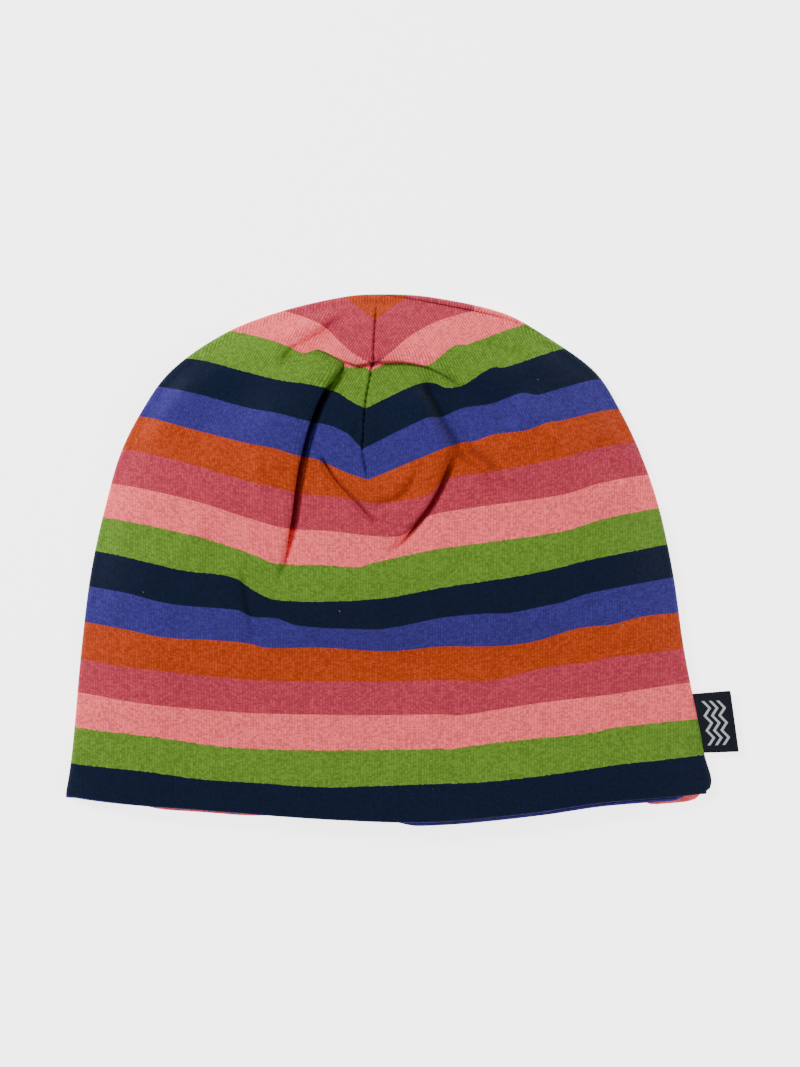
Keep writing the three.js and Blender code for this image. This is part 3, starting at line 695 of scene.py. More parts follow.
class Sock:
    """An output of a shader node, with sums written as sums."""

    def __init__(self, book: "Finishing", socket: bpy.types.NodeSocket) -> None:
        """Keeps the socket and the tree that it is in."""
        self.book = book
        self.socket = socket

    def sum(self, operation: str, *values: "Sock | float") -> "Sock":
        """Adds a Math node with this output first."""
        return self.book.maths(operation, self, *values)

    def __add__(self, other: "Sock | float") -> "Sock":
        """Adds."""
        return self.sum("ADD", other)

    __radd__ = __add__

    def __sub__(self, other: "Sock | float") -> "Sock":
        """Subtracts."""
        return self.sum("SUBTRACT", other)

    def __rsub__(self, other: float) -> "Sock":
        """Subtracts this output from a number."""
        return self.book.maths("SUBTRACT", other, self)

    def __mul__(self, other: "Sock | float") -> "Sock":
        """Multiplies."""
        return self.sum("MULTIPLY", other)

    __rmul__ = __mul__

    def __truediv__(self, other: "Sock | float") -> "Sock":
        """Divides."""
        return self.sum("DIVIDE", other)

    def fract(self) -> "Sock":
        """Keeps the part behind the point."""
        return self.sum("FRACT")

    def absolute(self) -> "Sock":
        """Drops the sign."""
        return self.sum("ABSOLUTE")

    def cosine(self) -> "Sock":
        """Takes the cosine."""
        return self.sum("COSINE")

    def over(self, limit: float) -> "Sock":
        """Gives 1 where the output is above the limit."""
        return self.sum("GREATER_THAN", limit)

    def ease(self, low: float, high: float) -> "Sock":
        """Eases from 0 at low to 1 at high."""
        node = self.book.node("ShaderNodeMapRange", {"interpolation_type": "SMOOTHSTEP"},
                              {"Value": self, "From Min": low, "From Max": high})
        return Sock(self.book, node.outputs["Result"])


class Finishing:
    """A material's node tree under construction, with its Principled shader."""

    def __init__(self, name: str) -> None:
        """Starts a material.

        Args:
            name: The material's name.
        """
        self.material = bpy.data.materials.new(name)
        self.material.use_nodes = True
        self.tree = self.material.node_tree
        self.tree.nodes.clear()
        self.shader = self.node("ShaderNodeBsdfPrincipled", {}, {})
        output = self.node("ShaderNodeOutputMaterial", {}, {})
        self.tree.links.new(self.shader.outputs["BSDF"], output.inputs["Surface"])

    def node(self, kind: str, settings: dict, sockets: dict) -> bpy.types.Node:
        """Adds a node.

        Args:
            kind: The node's type.
            settings: Its settings, such as a Math node's operation, or a ramp's stops.
            sockets: Values or links of its sockets, by identifier or name.

        Returns:
            The node.
        """
        node = self.tree.nodes.new(kind)
        for key, value in settings.items():
            if key == "stops":
                self.fill_ramp(node.color_ramp, value)
            else:
                setattr(node, key, value)
        for key, value in sockets.items():
            socket = next((s for s in node.inputs if s.identifier == key), None) or node.inputs[key]
            if isinstance(value, Sock):
                self.tree.links.new(value.socket, socket)
            else:
                socket.default_value = value
        return node

    @staticmethod
    def fill_ramp(ramp: bpy.types.ColorRamp, stops: list[tuple[float, tuple]]) -> None:
        """Sets a ramp's stops, each held until the next."""
        ramp.interpolation = "CONSTANT"
        while len(ramp.elements) < len(stops):
            ramp.elements.new(1.0)
        for element, (place, colour) in zip(ramp.elements, stops):
            element.position = place
            element.color = colour

    def maths(self, operation: str, *values: "Sock | float") -> Sock:
        """Adds a Math node."""
        sockets = {("Value", "Value_001", "Value_002")[k]: value for k, value in enumerate(values)}
        return Sock(self, self.node("ShaderNodeMath", {"operation": operation}, sockets).outputs[0])

    def mix(self, factor: "Sock | float", low: "Sock | tuple", high: "Sock | tuple", blend: str = "MIX") -> Sock:
        """Mixes two colours."""
        node = self.node("ShaderNodeMix", {"data_type": "RGBA", "blend_type": blend},
                         {"Factor_Float": factor, "A_Color": low, "B_Color": high})
        return Sock(self, next(s for s in node.outputs if s.identifier == "Result_Color"))

    def place(self, source: str) -> tuple[Sock, Sock, Sock, Sock]:
        """Gives the Object coordinates, or the knit's UV map, whole and by axis."""
        if source == "Object":
            whole = Sock(self, self.node("ShaderNodeTexCoord", {}, {}).outputs["Object"])
        else:
            whole = Sock(self, self.node("ShaderNodeUVMap", {"uv_map": source}, {}).outputs["UV"])
        parts = self.node("ShaderNodeSeparateXYZ", {}, {"Vector": whole})
        return (whole, *(Sock(self, parts.outputs[axis]) for axis in "XYZ"))

    def noise(self, vector: Sock, scale: float, detail: float = 2.0, roughness: float = 0.5) -> Sock:
        """Adds noise, from 0 to 1 about its middle of a half."""
        node = self.node("ShaderNodeTexNoise", {}, {"Vector": vector, "Scale": scale, "Detail": detail,
                                                    "Roughness": roughness})
        return Sock(self, node.outputs["Fac"])

    def bump(self, height: Sock, distance: float, strength: float = 1.0) -> None:
        """Raises the surface's detail by a height in metres."""
        node = self.node("ShaderNodeBump", {}, {"Height": height, "Distance": distance, "Strength": strength})
        self.tree.links.new(node.outputs["Normal"], self.shader.inputs["Normal"])

    def colour(self, colour: Sock) -> None:
        """Sets the shader's colour."""
        self.tree.links.new(colour.socket, self.shader.inputs["Base Color"])

    def plain(self, **values: float | tuple) -> None:
        """Sets the shader's constant sockets, with underscores for spaces."""
        for key, value in values.items():
            self.shader.inputs[key.replace("_", " ")].default_value = value


def linear(red: int, green: int, blue: int) -> tuple[float, float, float, float]:
    """Turns a screen colour into a linear one."""
    parts = [c / 255.0 for c in (red, green, blue)]
    return (*(c / 12.92 if c <= 0.04045 else ((c + 0.055) / 1.055) ** 2.4 for c in parts), 1.0)


class Stripe(Enum):
    """The yarn colours, from the hem up, as they look in full light."""

    NAVY = (6, 19, 43)
    GREEN = (92, 129, 40)
    PINK = (250, 99, 105)
    ROSE = (175, 56, 73)
    ORANGE = (171, 59, 22)
    PURPLE = (51, 43, 117)


@dataclass(frozen=True)
class Jersey:
    """Striped single jersey: V-shaped knit stitches in columns, with a matt, slightly fuzzy yarn."""

    name: str
    wale: float = 1.06  # width of a column of stitches, in millimetres
    courses: float = 24.0  # rows of stitches in a stripe
    relief: float = 0.00012
    roughness: float = 0.94
    sheen: float = 0.04
    ribbed: tuple[float, float] = (0.035, 0.075)  # where towards the crown the painted shade in the stitch gaps and the painted highlight on the ribs grow stronger, in metres

    def make(self) -> bpy.types.Material:
        """Builds the material."""
        book = Finishing(self.name)
        _, across, number, _ = book.place("knit")
        whole, _, up, _ = book.place("Object")
        crown = up.ease(*self.ribbed)
        sway = (book.noise(whole, 300.0, 2.0) - 0.5) * 0.22
        column = across / self.wale + sway
        leg = (column.fract() - 0.5).absolute() * 2.0
        course = number * self.courses + leg * 0.5 + sway
        loop = (course * math.tau).cosine() * 0.5 + 0.5
        rib = 1.0 - leg * leg
        cell = book.node("ShaderNodeCombineXYZ", {}, {"X": column.sum("FLOOR"), "Y": course.sum("FLOOR")})
        chance = book.node("ShaderNodeTexWhiteNoise", {"noise_dimensions": "2D"},
                           {"Vector": Sock(book, cell.outputs["Vector"])})
        stitch = Sock(book, chance.outputs["Value"])
        ragged = (stitch - 0.5) * (0.3 / self.courses) + leg * (0.2 / self.courses)
        place = ((number + ragged) / len(Stripe)).fract()
        stops = [(k / len(Stripe), linear(*stripe.value)) for k, stripe in enumerate(Stripe)]
        ramp = book.node("ShaderNodeValToRGB", {"stops": stops}, {"Fac": place})
        yarn = Sock(book, ramp.outputs["Color"])
        heather = book.noise(whole, 1100.0, 3.0, 0.75)
        cloud = book.noise(whole, 60.0, 2.0)
        patchy = book.noise(whole, 240.0, 2.0).ease(0.36, 0.66)
        # Painted shade and highlight: the colour is darkened in the gaps between the stitch loops as painted shade,
        # and lightened on the rib crests as a painted highlight, both more strongly towards the crown.
        gap = (1.0 - rib) * (1.0 - loop) * (0.3 + stitch * 0.9)
        dark = gap * (0.42 + crown * 0.5) * (0.35 + patchy * 0.65)
        shade = 0.9 - crown * 0.11 + rib * (0.12 + crown * 0.26) - dark
        # The stitch, heather and cloud noises then add the yarn's random tone on top of the painted shade and
        # highlight.
        shade = shade * (0.72 + stitch * 0.52) * (0.63 + heather * 0.8) * (0.94 + cloud * 0.12)
        grey = book.node("ShaderNodeCombineColor", {}, {"Red": shade, "Green": shade, "Blue": shade})
        book.colour(book.mix(1.0, yarn, Sock(book, grey.outputs["Color"]), "MULTIPLY"))
        fluff = book.noise(whole, 2600.0, 2.0, 0.6)
        book.bump(rib * (0.7 + loop * 0.3) * (0.3 + patchy * 0.5) + fluff * 0.6 + stitch * 0.4, self.relief, 0.8)
        book.plain(Roughness=self.roughness, Sheen_Weight=self.sheen, Sheen_Roughness=0.5,
                   Specular_IOR_Level=0.15)
        return book.material


@dataclass(frozen=True)
class WovenBadge:
    """The label's satin ribbon: navy, ribbed across, with plain zigzag lines in silver-grey."""

    name: str
    rib: float = 0.34
    zig: float = 5.8
    line: float = 1.15
    start: float = 2.2
    pitch: float = 2.9

    def make(self) -> bpy.types.Material:
        """Builds the material."""
        book = Finishing(self.name)
        whole, along, out, _ = book.place("knit")
        thread = ((along / self.rib).fract() - 0.5).absolute() * 2.0
        pick = ((out / (self.rib * 0.8)).fract() - 0.5).absolute() * 2.0
        slope = ((along / self.zig).fract() - 0.5).absolute() * self.zig * 0.8
        place = (out - slope - self.start) / self.pitch
        rows = (place.fract() - 0.5).absolute() * self.pitch
        band = place.over(0.0) * (1.0 - place.over(3.0)) * (1.0 - along.absolute().over(self.zig * 1.5))
        figure = (1.0 - rows.over(self.line / 2)) * band
        fibre = book.noise(whole, 1.8, 3.0, 0.7)
        dark, light = linear(5, 10, 20), linear(186, 192, 196)
        book.colour(book.mix(figure, book.mix(fibre * 0.5, dark, linear(12, 20, 36)),
                             book.mix(thread * 0.4, light, linear(120, 126, 138))))
        book.bump(thread * 0.6 + pick * 0.4 + figure * 0.8, 0.00008, 0.9)
        book.plain(Roughness=0.7, Sheen_Weight=0.02, Specular_IOR_Level=0.2)
        return book.material


@dataclass(frozen=True)
class Yarn:
    """Spun thread or lint, slightly uneven in colour."""

    name: str
    tint: tuple[int, int, int]
    twist: float = 2400.0

    def make(self) -> bpy.types.Material:
        """Builds the material."""
        book = Finishing(self.name)
        whole, *_ = book.place("Object")
        fibre = book.noise(whole, self.twist, 3.0, 0.7)
        low, high = (tuple(int(c * k) for c in self.tint) for k in (0.8, 1.0))
        book.colour(book.mix(fibre, linear(*low), linear(*high)))
        book.bump(fibre, 0.00006)
        book.plain(Roughness=0.85, Sheen_Weight=0.1, Specular_IOR_Level=0.2)
        return book.material


@dataclass(frozen=True)
class StudioPaper:
    """The plain pale floor."""

    name: str

    def make(self) -> bpy.types.Material:
        """Builds the material."""
        book = Finishing(self.name)
        whole, *_ = book.place("Object")
        grain = book.noise(whole, 260.0, 3.0)
        book.colour(book.mix(grain, linear(247, 247, 247), linear(250, 250, 250)))
        book.bump(grain, 0.00004, 0.3)
        book.plain(Roughness=0.95, Specular_IOR_Level=0.1, Emission_Color=(1.0, 1.0, 1.0, 1.0),
                   Emission_Strength=3.2)
        return book.material


# Pieces


def dress(piece: bpy.types.Object, finish: bpy.types.Material, node: str) -> bpy.types.Object:
    """Finishes a piece of cloth and puts it in the place of its solid.

    Args:
        piece: The cloth.
        finish: Its material.
        node: The solid that it stands for.

    Returns:
        The piece.
    """
    piece.data.materials.append(finish)
    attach(piece, "root")
    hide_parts(node)
    return piece


@dataclass
class OuterShell:
    """The outer jersey: the folded front panel and the back panel that lies on the floor."""

    cut: Cut
    folds: FoldField
    stripes: StripeMap
    jersey: bpy.types.Material
    shift: np.ndarray
    ring_steps: int = 9
    hem_squeeze: float = 0.9
    front_drop: float = 0.05
    back_drop: float = 0.03
    seam_dip: float = 0.55  # how far the seam sinks in
    seam_past: float = 0.05  # how far past the seam its sunk row lies, round the edge
    dart_pull: float = 32.0  # how far aside the grid gives way to the dart
    wale_lean: float = 0.6  # how far the wales lean near the crown, across to up
    wale_ease: float = 42.0  # how far above the dart's tip they have their full lean
    settle: float = 0.12  # how gently a deep fold comes to rest on the lining
    clear: float = 0.2  # how far below its room a fold may sink
    dart_blend: tuple[float, float] = (60.0, 4.0)  # below the dart's tip, where the grid starts and ends giving way
    strip_offset: float = 0.6  # how far the back panel's stripes sit to the right at the crown seam
    strip_blend: tuple[float, float] = (140.0, 190.0)  # where up the cap they move there
    front: Weave = field(default_factory=lambda: Weave(
        222, 186, ((0.46, 0.2, 1.5), (0.478, 0.022, 1.6)), ((0.74, 0.27, 1.3),)))
    back: Weave = field(default_factory=lambda: Weave(
        222, 60, ((0.46, 0.2, 1.5), (0.478, 0.022, 1.6)), ((1.0, 0.15, 1.5),)))

    def front_height(self, spots: np.ndarray, lag: float = 0.0) -> tuple[np.ndarray, np.ndarray]:
        """Gives the front's height and lean at plan spots."""
        inside = self.cut.inside(spots)
        height, lean = self.folds.near(spots, inside, lag)
        floor = -self.cut.lining_drop(spots, inside) - self.clear
        height = floor + self.settle * np.logaddexp(0.0, (height - floor) / self.settle)
        return self.cut.pillow(spots, inside) + height, lean

    def wale_place(self, spots: np.ndarray) -> np.ndarray:
        """Gives the place across the knit: above the dart's tip the wales lean towards the dart."""
        rise = spots[..., 1] - self.stripes.dart[-1, 1]
        share = np.clip(rise / self.wale_ease, 0.0, 1.0)
        walk = self.wale_ease * share ** 3 * (1.0 - 0.5 * share) + np.maximum(rise - self.wale_ease, 0.0)
        side = np.where(np.arange(spots.shape[1]) <= self.dart_line, -1.0, 1.0)
        return spots[..., 0] + side * self.wale_lean * walk

    def follow_dart(self, spots: np.ndarray) -> np.ndarray:
        """Moves the grid's lines sideways so that one of them runs along the dart.

        Args:
            spots: The grid's plan points, rows up the cap.

        Returns:
            The moved points.
        """
        top = self.stripes.dart_across(spots[-1, :, 1])
        column = int(np.abs(spots[-1, :, 0] - top).argmin())
        self.dart_line = column
        LOG.info("the dart follows grid line %d, at share %.4f", column, self.front.lines()[0][column])
        line = spots[:, column]
        tip = self.stripes.dart[-1, 1]
        low, high = (tip - part for part in self.dart_blend)
        move = (self.stripes.dart_across(line[:, 1]) - line[:, 0]) * smooth(low, high, line[:, 1])
        near = np.exp(-((spots[..., 0] - line[:, None, 0]) / self.dart_pull) ** 2)
        return spots + np.stack([move[:, None] * near, np.zeros(near.shape)], axis=-1)

    def make_front(self) -> bpy.types.Object:
        """Builds the front panel with its folds, rolled edge and hem."""
        cut, sheet = self.cut, Sheet(False)
        spots = self.follow_dart(self.front.grid(cut, cut.patch_inset, cut.cloth, cut.hem_line))
        height, lean = self.front_height(spots)
        under, _ = self.front_height(spots, 1.0)
        across = self.wale_place(spots)
        pattern = np.stack([across, self.stripes.number(spots + lean)], axis=-1)
        rows = sheet.add(raised(spots + lean, height), raised(spots, under - cut.cloth), pattern)
        sheet.weave_grid(rows)

        shares = self.front.edge_shares(cut)
        angle = math.pi - cut.seam_angle(shares) - cut.seam_gap / 2 / (cut.roll - cut.cloth)
        start = border(raised(spots, height))
        deeper = cut.inset_point(shares, cut.patch_inset + 1.0)
        slope = self.front_height(deeper)[0] - start[..., 2]
        rings = self.roll_front(sheet, border(rows), start, border(across), shares, slope, angle)
        self.round_hem(sheet, rings, rows[0], self.front_drop)
        return dress(sheet.mesh("front_cloth", self.shift), self.jersey, "front_panel")

    def roll_front(self, sheet: Sheet, ring: np.ndarray, start: np.ndarray, across: np.ndarray,
                   shares: np.ndarray, slope: np.ndarray, angle: np.ndarray) -> list[np.ndarray]:
        """Rolls the front's edge down to the seam.

        Args:
            sheet: The sheet that grows.
            ring: The knots of the open sheet's border.
            start: Their places.
            across: Their places across the knit.
            shares: Their shares of the outline.
            slope: How steeply the sheet falls outwards there.
            angle: How far round the edge the seam sits, from the top.

        Returns:
            The rings of knots, from the border outwards.
        """
        cut = self.cut
        rings = [ring]

        def profile(share: float, depth: float) -> np.ndarray:
            """Gives a ring's points, at a share of the way and a depth in the cloth."""
            radius = cut.roll - depth
            out_end = cut.patch_inset - cut.roll + radius * np.sin(angle)
            up_end = cut.roll + radius * np.cos(angle)
            up_start = start[:, 2] - depth
            size = np.hypot(out_end, up_end - up_start)
            steep = 1.0 / np.hypot(1.0, slope)
            square, cube = share ** 2, share ** 3
            first, last = cube - 2 * square + share, cube - square
            goal = 3 * square - 2 * cube
            out = goal * out_end + size * (first * steep + last * np.cos(angle))
            up = up_start + goal * (up_end - up_start) - size * (first * steep * slope + last * np.sin(angle))
            spots = cut.inset_point(shares, cut.patch_inset - out)
            return raised(spots, up)

        walked = np.zeros(len(shares))
        before = profile(0.0, 0.0)
        for step in range(1, self.ring_steps + 1):
            here = profile(step / self.ring_steps, 0.0)
            walked += np.linalg.norm(here - before, axis=-1)
            before = here
            sheet.add_ring(rings, here, profile(step / self.ring_steps, cut.cloth),
                           self.edge_pattern(shares, walked, start, across))
        radius, past = cut.roll - self.seam_dip, angle + self.seam_past
        dip = raised(cut.inset_point(shares, cut.roll - radius * np.sin(past)), cut.roll + radius * np.cos(past))
        sheet.add_ring(rings, dip, profile(1.0, cut.cloth), self.edge_pattern(shares, walked + 0.5, start, across))
        return rings

    def edge_pattern(self, shares: np.ndarray, walked: np.ndarray, start: np.ndarray,
                     across: np.ndarray) -> np.ndarray:
        """Carries the knit on round the edge by the length walked."""
        spread = self.cut.inset_point(shares, self.cut.patch_inset - walked)
        return np.stack([across + spread[..., 0] - start[..., 0], self.stripes.number(spread)], axis=-1)

    def round_hem(self, sheet: Sheet, rings: list[np.ndarray], base: np.ndarray, drop: float) -> None:
        """Turns the hem under.

        Args:
            sheet: The sheet that grows.
            rings: The rolled edge's rings.
            base: The knots of the open sheet's lowest row.
            drop: The share of a stripe that each row of the turn takes up.
        """
        outward = np.array([ring[0] for ring in rings[1:]][::-1])
        inward = np.array([ring[-1] for ring in rings[1:]])
        sheet.turn_under(np.concatenate([outward, base, inward]), self.cut.cloth, self.hem_squeeze, drop)

    def back_number(self, spots: np.ndarray) -> np.ndarray:
        """Gives the back panel's stripe number, which the crown seam meets a little offset."""
        offset = self.strip_offset * smooth(*self.strip_blend, spots[..., 1])
        moved = spots - np.stack([offset, np.zeros_like(offset)], axis=-1)
        return self.stripes.number(moved)

    def make_back(self) -> bpy.types.Object:
        """Builds the back panel, flat on the floor, with its edge rolled up to the seam."""
        cut, sheet = self.cut, Sheet(True)
        spots = self.back.grid(cut, cut.patch_inset, cut.cloth, cut.hem_line)
        pattern = np.stack([spots[..., 0], self.back_number(spots)], axis=-1)
        rows = sheet.add(raised(spots, 0.0), raised(spots, cut.cloth), pattern)
        sheet.weave_grid(rows)
        shares = self.back.edge_shares(cut)
        seam = cut.seam_angle(shares) - cut.seam_gap / 2 / (cut.roll - cut.cloth)
        flat = cut.patch_inset - cut.roll
        rings = [border(rows)]

        def profile(way: np.ndarray, depth: float) -> np.ndarray:
            """Gives a ring's points at a length walked and a depth in the cloth."""
            turn = np.maximum(way - flat, 0.0) / cut.roll
            radius = cut.roll - depth
            inset = np.where(way < flat, cut.patch_inset - way, cut.roll - radius * np.sin(turn))
            return raised(cut.inset_point(shares, inset), cut.roll - radius * np.cos(turn))

        for step in range(1, self.ring_steps + 2):
            share = min(step / self.ring_steps, 1.0)
            way = (flat + cut.roll * seam) * share
            dip = self.seam_dip if step > self.ring_steps else 0.0
            spread = cut.inset_point(shares, cut.patch_inset - (flat + cut.roll * (math.pi - seam)) * share)
            knit = np.stack([spread[..., 0], self.back_number(spread)], axis=-1)
            sheet.add_ring(rings, profile(way, dip), profile(way, cut.cloth), knit)
        self.round_hem(sheet, rings, rows[0], self.back_drop)
        return dress(sheet.mesh("back_cloth", self.shift), self.jersey, "back_panel")


class LiningSide(Enum):
    """The lining's two panels, with the stripe at each one's hem."""

    FRONT = 0
    BACK = -3


@dataclass
class Lining:
    """The lining jersey: the same cloth, seen at the mouth and as thin edges below the hem."""

    cut: Cut
    jersey: bpy.types.Material
    shift: np.ndarray
    weave: Weave = field(default_factory=lambda: Weave(
        110, 80, ((0.0, 0.04, 1.0), (1.0, 0.04, 1.0)), ((0.0, 0.2, 1.0),), 60.0))
    pitch: float = 13.9  # height of a stripe
    stripe_start: float = 0.08  # share of a stripe that the hem's turn takes up
    front_show: float = 1.5  # how far the front lining's edge shows below the hem
    back_show: float = 2.5
    left_share: float = 0.75  # how much of that shows on the left
    front_span: tuple[float, float, float, float] = (370.0, 420.0, 672.0, 700.0)  # plan units across
    left_span: tuple[float, float, float, float] = (96.0, 170.0, 235.0, 345.0)
    right_span: tuple[float, float] = (622.0, 655.0)
    hem_tuck: float = 1.9
    curl: float = 4.4  # how far the back lining's edge turns up where it shows
    curl_reach: float = 7.0

    def hem(self, side: LiningSide, x: np.ndarray) -> np.ndarray:
        """Gives a lining panel's hem line at places across."""
        units = DATUM[0] + x / UNIT
        line = self.cut.hem_line(x)
        if side is LiningSide.FRONT:
            shown = smooth(*self.front_span[:2], units) * (1.0 - smooth(*self.front_span[2:], units))
            return line + self.hem_tuck * (1.0 - shown) - self.front_show * shown
        shown = self.back_shown(x)
        return line + self.hem_tuck * (1.0 - shown) - self.back_show * shown

    def height(self, side: LiningSide, spots: np.ndarray) -> np.ndarray:
        """Gives the upper face's height at plan spots."""
        cut = self.cut
        inside = cut.inside(spots)
        dip = cut.lining_drop(spots, inside)
        front = np.maximum(cut.pillow(spots, inside) - cut.cloth - cut.lining_slack - dip, cut.lining_rest)
        if side is LiningSide.FRONT:
            return front
        from_hem = np.maximum(spots[..., 1] - cut.hem_line(spots[..., 0]), 0.0)
        curl = self.curl * self.back_shown(spots[..., 0]) * np.exp(-(from_hem / self.curl_reach) ** 2)
        return np.minimum(cut.back_lining_top + curl, front - cut.lining_cloth - cut.seam_gap)

    def back_shown(self, x: np.ndarray) -> np.ndarray:
        """Gives how far the back lining's edge shows at places across, from 0 to 1."""
        units = DATUM[0] + x / UNIT
        left = smooth(*self.left_span[:2], units) * (1.0 - smooth(*self.left_span[2:], units))
        return np.maximum(self.left_share * left, smooth(*self.right_span, units))

    def make(self, side: LiningSide) -> bpy.types.Object:
        """Builds one lining panel.

        Args:
            side: Which panel.

        Returns:
            The finished piece.
        """
        cut, front = self.cut, side is LiningSide.FRONT
        sheet = Sheet(front)
        spots = self.weave.grid(cut, cut.roll + cut.lining_edge, cut.lining_cloth, lambda x: self.hem(side, x))
        top = self.height(side, spots)
        bottom = top - cut.lining_cloth
        number = side.value - (spots[..., 1] - self.hem(side, spots[..., 0])) / self.pitch - self.stripe_start
        pattern = np.stack([spots[..., 0], number], axis=-1)
        shown, hidden = (bottom, top) if front else (top, bottom)
        rows = sheet.add(raised(spots, shown), raised(spots, hidden), pattern)
        sheet.weave_grid(rows)
        sheet.turn_under(rows[0], cut.lining_cloth)
        name = "front" if front else "back"
        piece = sheet.mesh(f"lining_cloth_{name}", self.shift)
        return dress(piece, self.jersey, f"lining_{name}")


@dataclass
class SideLabel:
    """The woven label: a ribbon folded in two, with both ends in the right side seam."""

    cut: Cut
    ribbon: bpy.types.Material
    shift: np.ndarray
    width: float = 23.2
    reach: float = 15.0
    thickness: float = 0.45
    fold_gap: float = 0.5
    clear: float = -1.0
    up: float = 0.1805
    tilt: float = 1.8
    lean: float = 3.1  # degrees that the label's edge stands more upright than the seam
    back_turn: float = 3.0  # degrees that the lower leaf is turned against the upper one
    cells: int = 30
    wave: float = 0.18  # height of the ribbon's slight waves

    def seam(self, up: float) -> np.ndarray:
        """Gives the side seam's plan point at a share of the height."""
        rows = np.array(self.cut.outline_rows)
        across = float(table_value(rows[:, 0], rows[:, 2], np.array([up]))[0])
        return np.array([across * self.cut.half_hem, up * self.cut.height + self.cut.cloth])

    def make(self) -> bpy.types.Object:
        """Builds the label."""
        half = self.width / 2 / self.cut.height
        way = self.seam(self.up + half) - self.seam(self.up - half)
        angle = math.atan2(way[1], way[0]) - math.radians(self.lean)
        way = np.array([math.cos(angle), math.sin(angle)])
        middle = self.seam(self.up) + np.array([self.clear, 0.0])
        bend = self.fold_gap / 2 + self.thickness
        straight = self.reach - bend
        profile = [(out, bend, out) for out in np.linspace(0.0, straight, 16)]
        profile += [(straight + bend * math.sin(turn), bend * math.cos(turn), straight + bend * turn)
                    for turn in np.linspace(0.0, math.pi, 10)[1:-1]]
        walked = straight + bend * math.pi
        profile += [(out, -bend, walked + straight - out) for out in np.linspace(straight, 0.0, 16)]
        sheet = Sheet(False)
        ends = np.linspace(-0.5, 0.5, self.cells + 1)
        rows = []
        for end in ends:
            shown, hidden, pattern = [], [], []
            for out, lift, length in profile:
                lower = 0.5 - 0.5 * lift / bend
                turn = math.radians(self.tilt + self.back_turn * lower)
                outward = np.array([math.cos(turn), math.sin(turn)])
                wave = self.wave * math.sin(out * 0.5 + end * 3.0) * (out / self.reach)
                for depth, points in ((0.0, shown), (self.thickness, hidden)):
                    share = (bend - depth) / bend
                    far = straight + (out - straight) * share if out > straight else out
                    spot = middle + way * end * self.width + outward * far
                    points.append((*spot, self.cut.roll + lift * share + wave))
                pattern.append((end * self.width, length))
            rows.append(sheet.add(np.array(shown), np.array(hidden), np.array(pattern)))
        sheet.weave_grid(np.array(rows))
        return dress(sheet.mesh("label_ribbon", self.shift), self.ribbon, "woven_label")


class Repeats:
    """A Geometry Nodes tree under construction, for what repeats along a line or over a face."""

    def __init__(self, name: str, inputs: dict[str, tuple[str, float | bpy.types.Material]]) -> None:
        """Starts a tree.

        Args:
            name: The tree's name.
            inputs: Its named inputs, each with a socket type and a value.
        """
        self.tree = bpy.data.node_groups.new(name, "GeometryNodeTree")
        face = self.tree.interface
        face.new_socket("Geometry", in_out="INPUT", socket_type="NodeSocketGeometry")
        self.values = {}
        for label, (kind, value) in inputs.items():
            item = face.new_socket(label, in_out="INPUT", socket_type=kind)
            self.values[item.identifier] = value
        face.new_socket("Geometry", in_out="OUTPUT", socket_type="NodeSocketGeometry")
        self.source = self.node("NodeGroupInput", {}, {})
        self.result = self.node("NodeGroupOutput", {}, {})

    def node(self, kind: str, settings: dict, sockets: dict) -> bpy.types.Node:
        """Adds a node with its settings and its sockets' values or links."""
        node = self.tree.nodes.new(kind)
        for key, value in settings.items():
            setattr(node, key, value)
        for key, value in sockets.items():
            if isinstance(value, bpy.types.NodeSocket):
                self.tree.links.new(value, node.inputs[key])
            else:
                node.inputs[key].default_value = value
        return node

    def given(self, label: str) -> bpy.types.NodeSocket:
        """Gives one of the tree's inputs."""
        return self.source.outputs[label]

    def finish(self, instances: bpy.types.NodeSocket) -> None:
        """Ends the tree with real meshes in the given finish."""
        real = self.node("GeometryNodeRealizeInstances", {}, {"Geometry": instances})
        dressed = self.node("GeometryNodeSetMaterial", {}, {"Geometry": real.outputs[0],
                                                            "Material": self.given("Finish")})
        self.tree.links.new(dressed.outputs[0], self.result.inputs[0])

    def grow(self, name: str, base: bpy.types.Object) -> bpy.types.Object:
        """Runs the tree on a base object and keeps the result as a plain mesh.

        Args:
            name: The new piece's name.
            base: The object that carries the line or face, which is deleted.

        Returns:
            The new piece.
        """
        modifier = base.modifiers.new("repeats", "NODES")
        modifier.node_group = self.tree
        for identifier, value in self.values.items():
            modifier[identifier] = value
        graph = bpy.context.evaluated_depsgraph_get()
        mesh = bpy.data.meshes.new_from_object(base.evaluated_get(graph))
        base.modifiers.remove(modifier)
        bpy.data.objects.remove(base)
        mesh.name = name
        mesh.polygons.foreach_set("use_smooth", np.ones(len(mesh.polygons), bool))
        piece = placed(name, mesh)
        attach(piece, "root")
        return piece


def line_object(name: str, runs: list[np.ndarray], shift: np.ndarray) -> bpy.types.Object:
    """Makes an object of edges along runs of points.

    Args:
        name: The object's name.
        runs: Runs of points in millimetres.
        shift: The frame's place of the plan's origin.

    Returns:
        The object.
    """
    points, edges = [], []
    for run in runs:
        edges += [(len(points) + k, len(points) + k + 1) for k in range(len(run) - 1)]
        points += ((run + shift) * MM).tolist()
    mesh = bpy.data.meshes.new(name)
    mesh.from_pydata(points, edges, [])
    return placed(name, mesh)


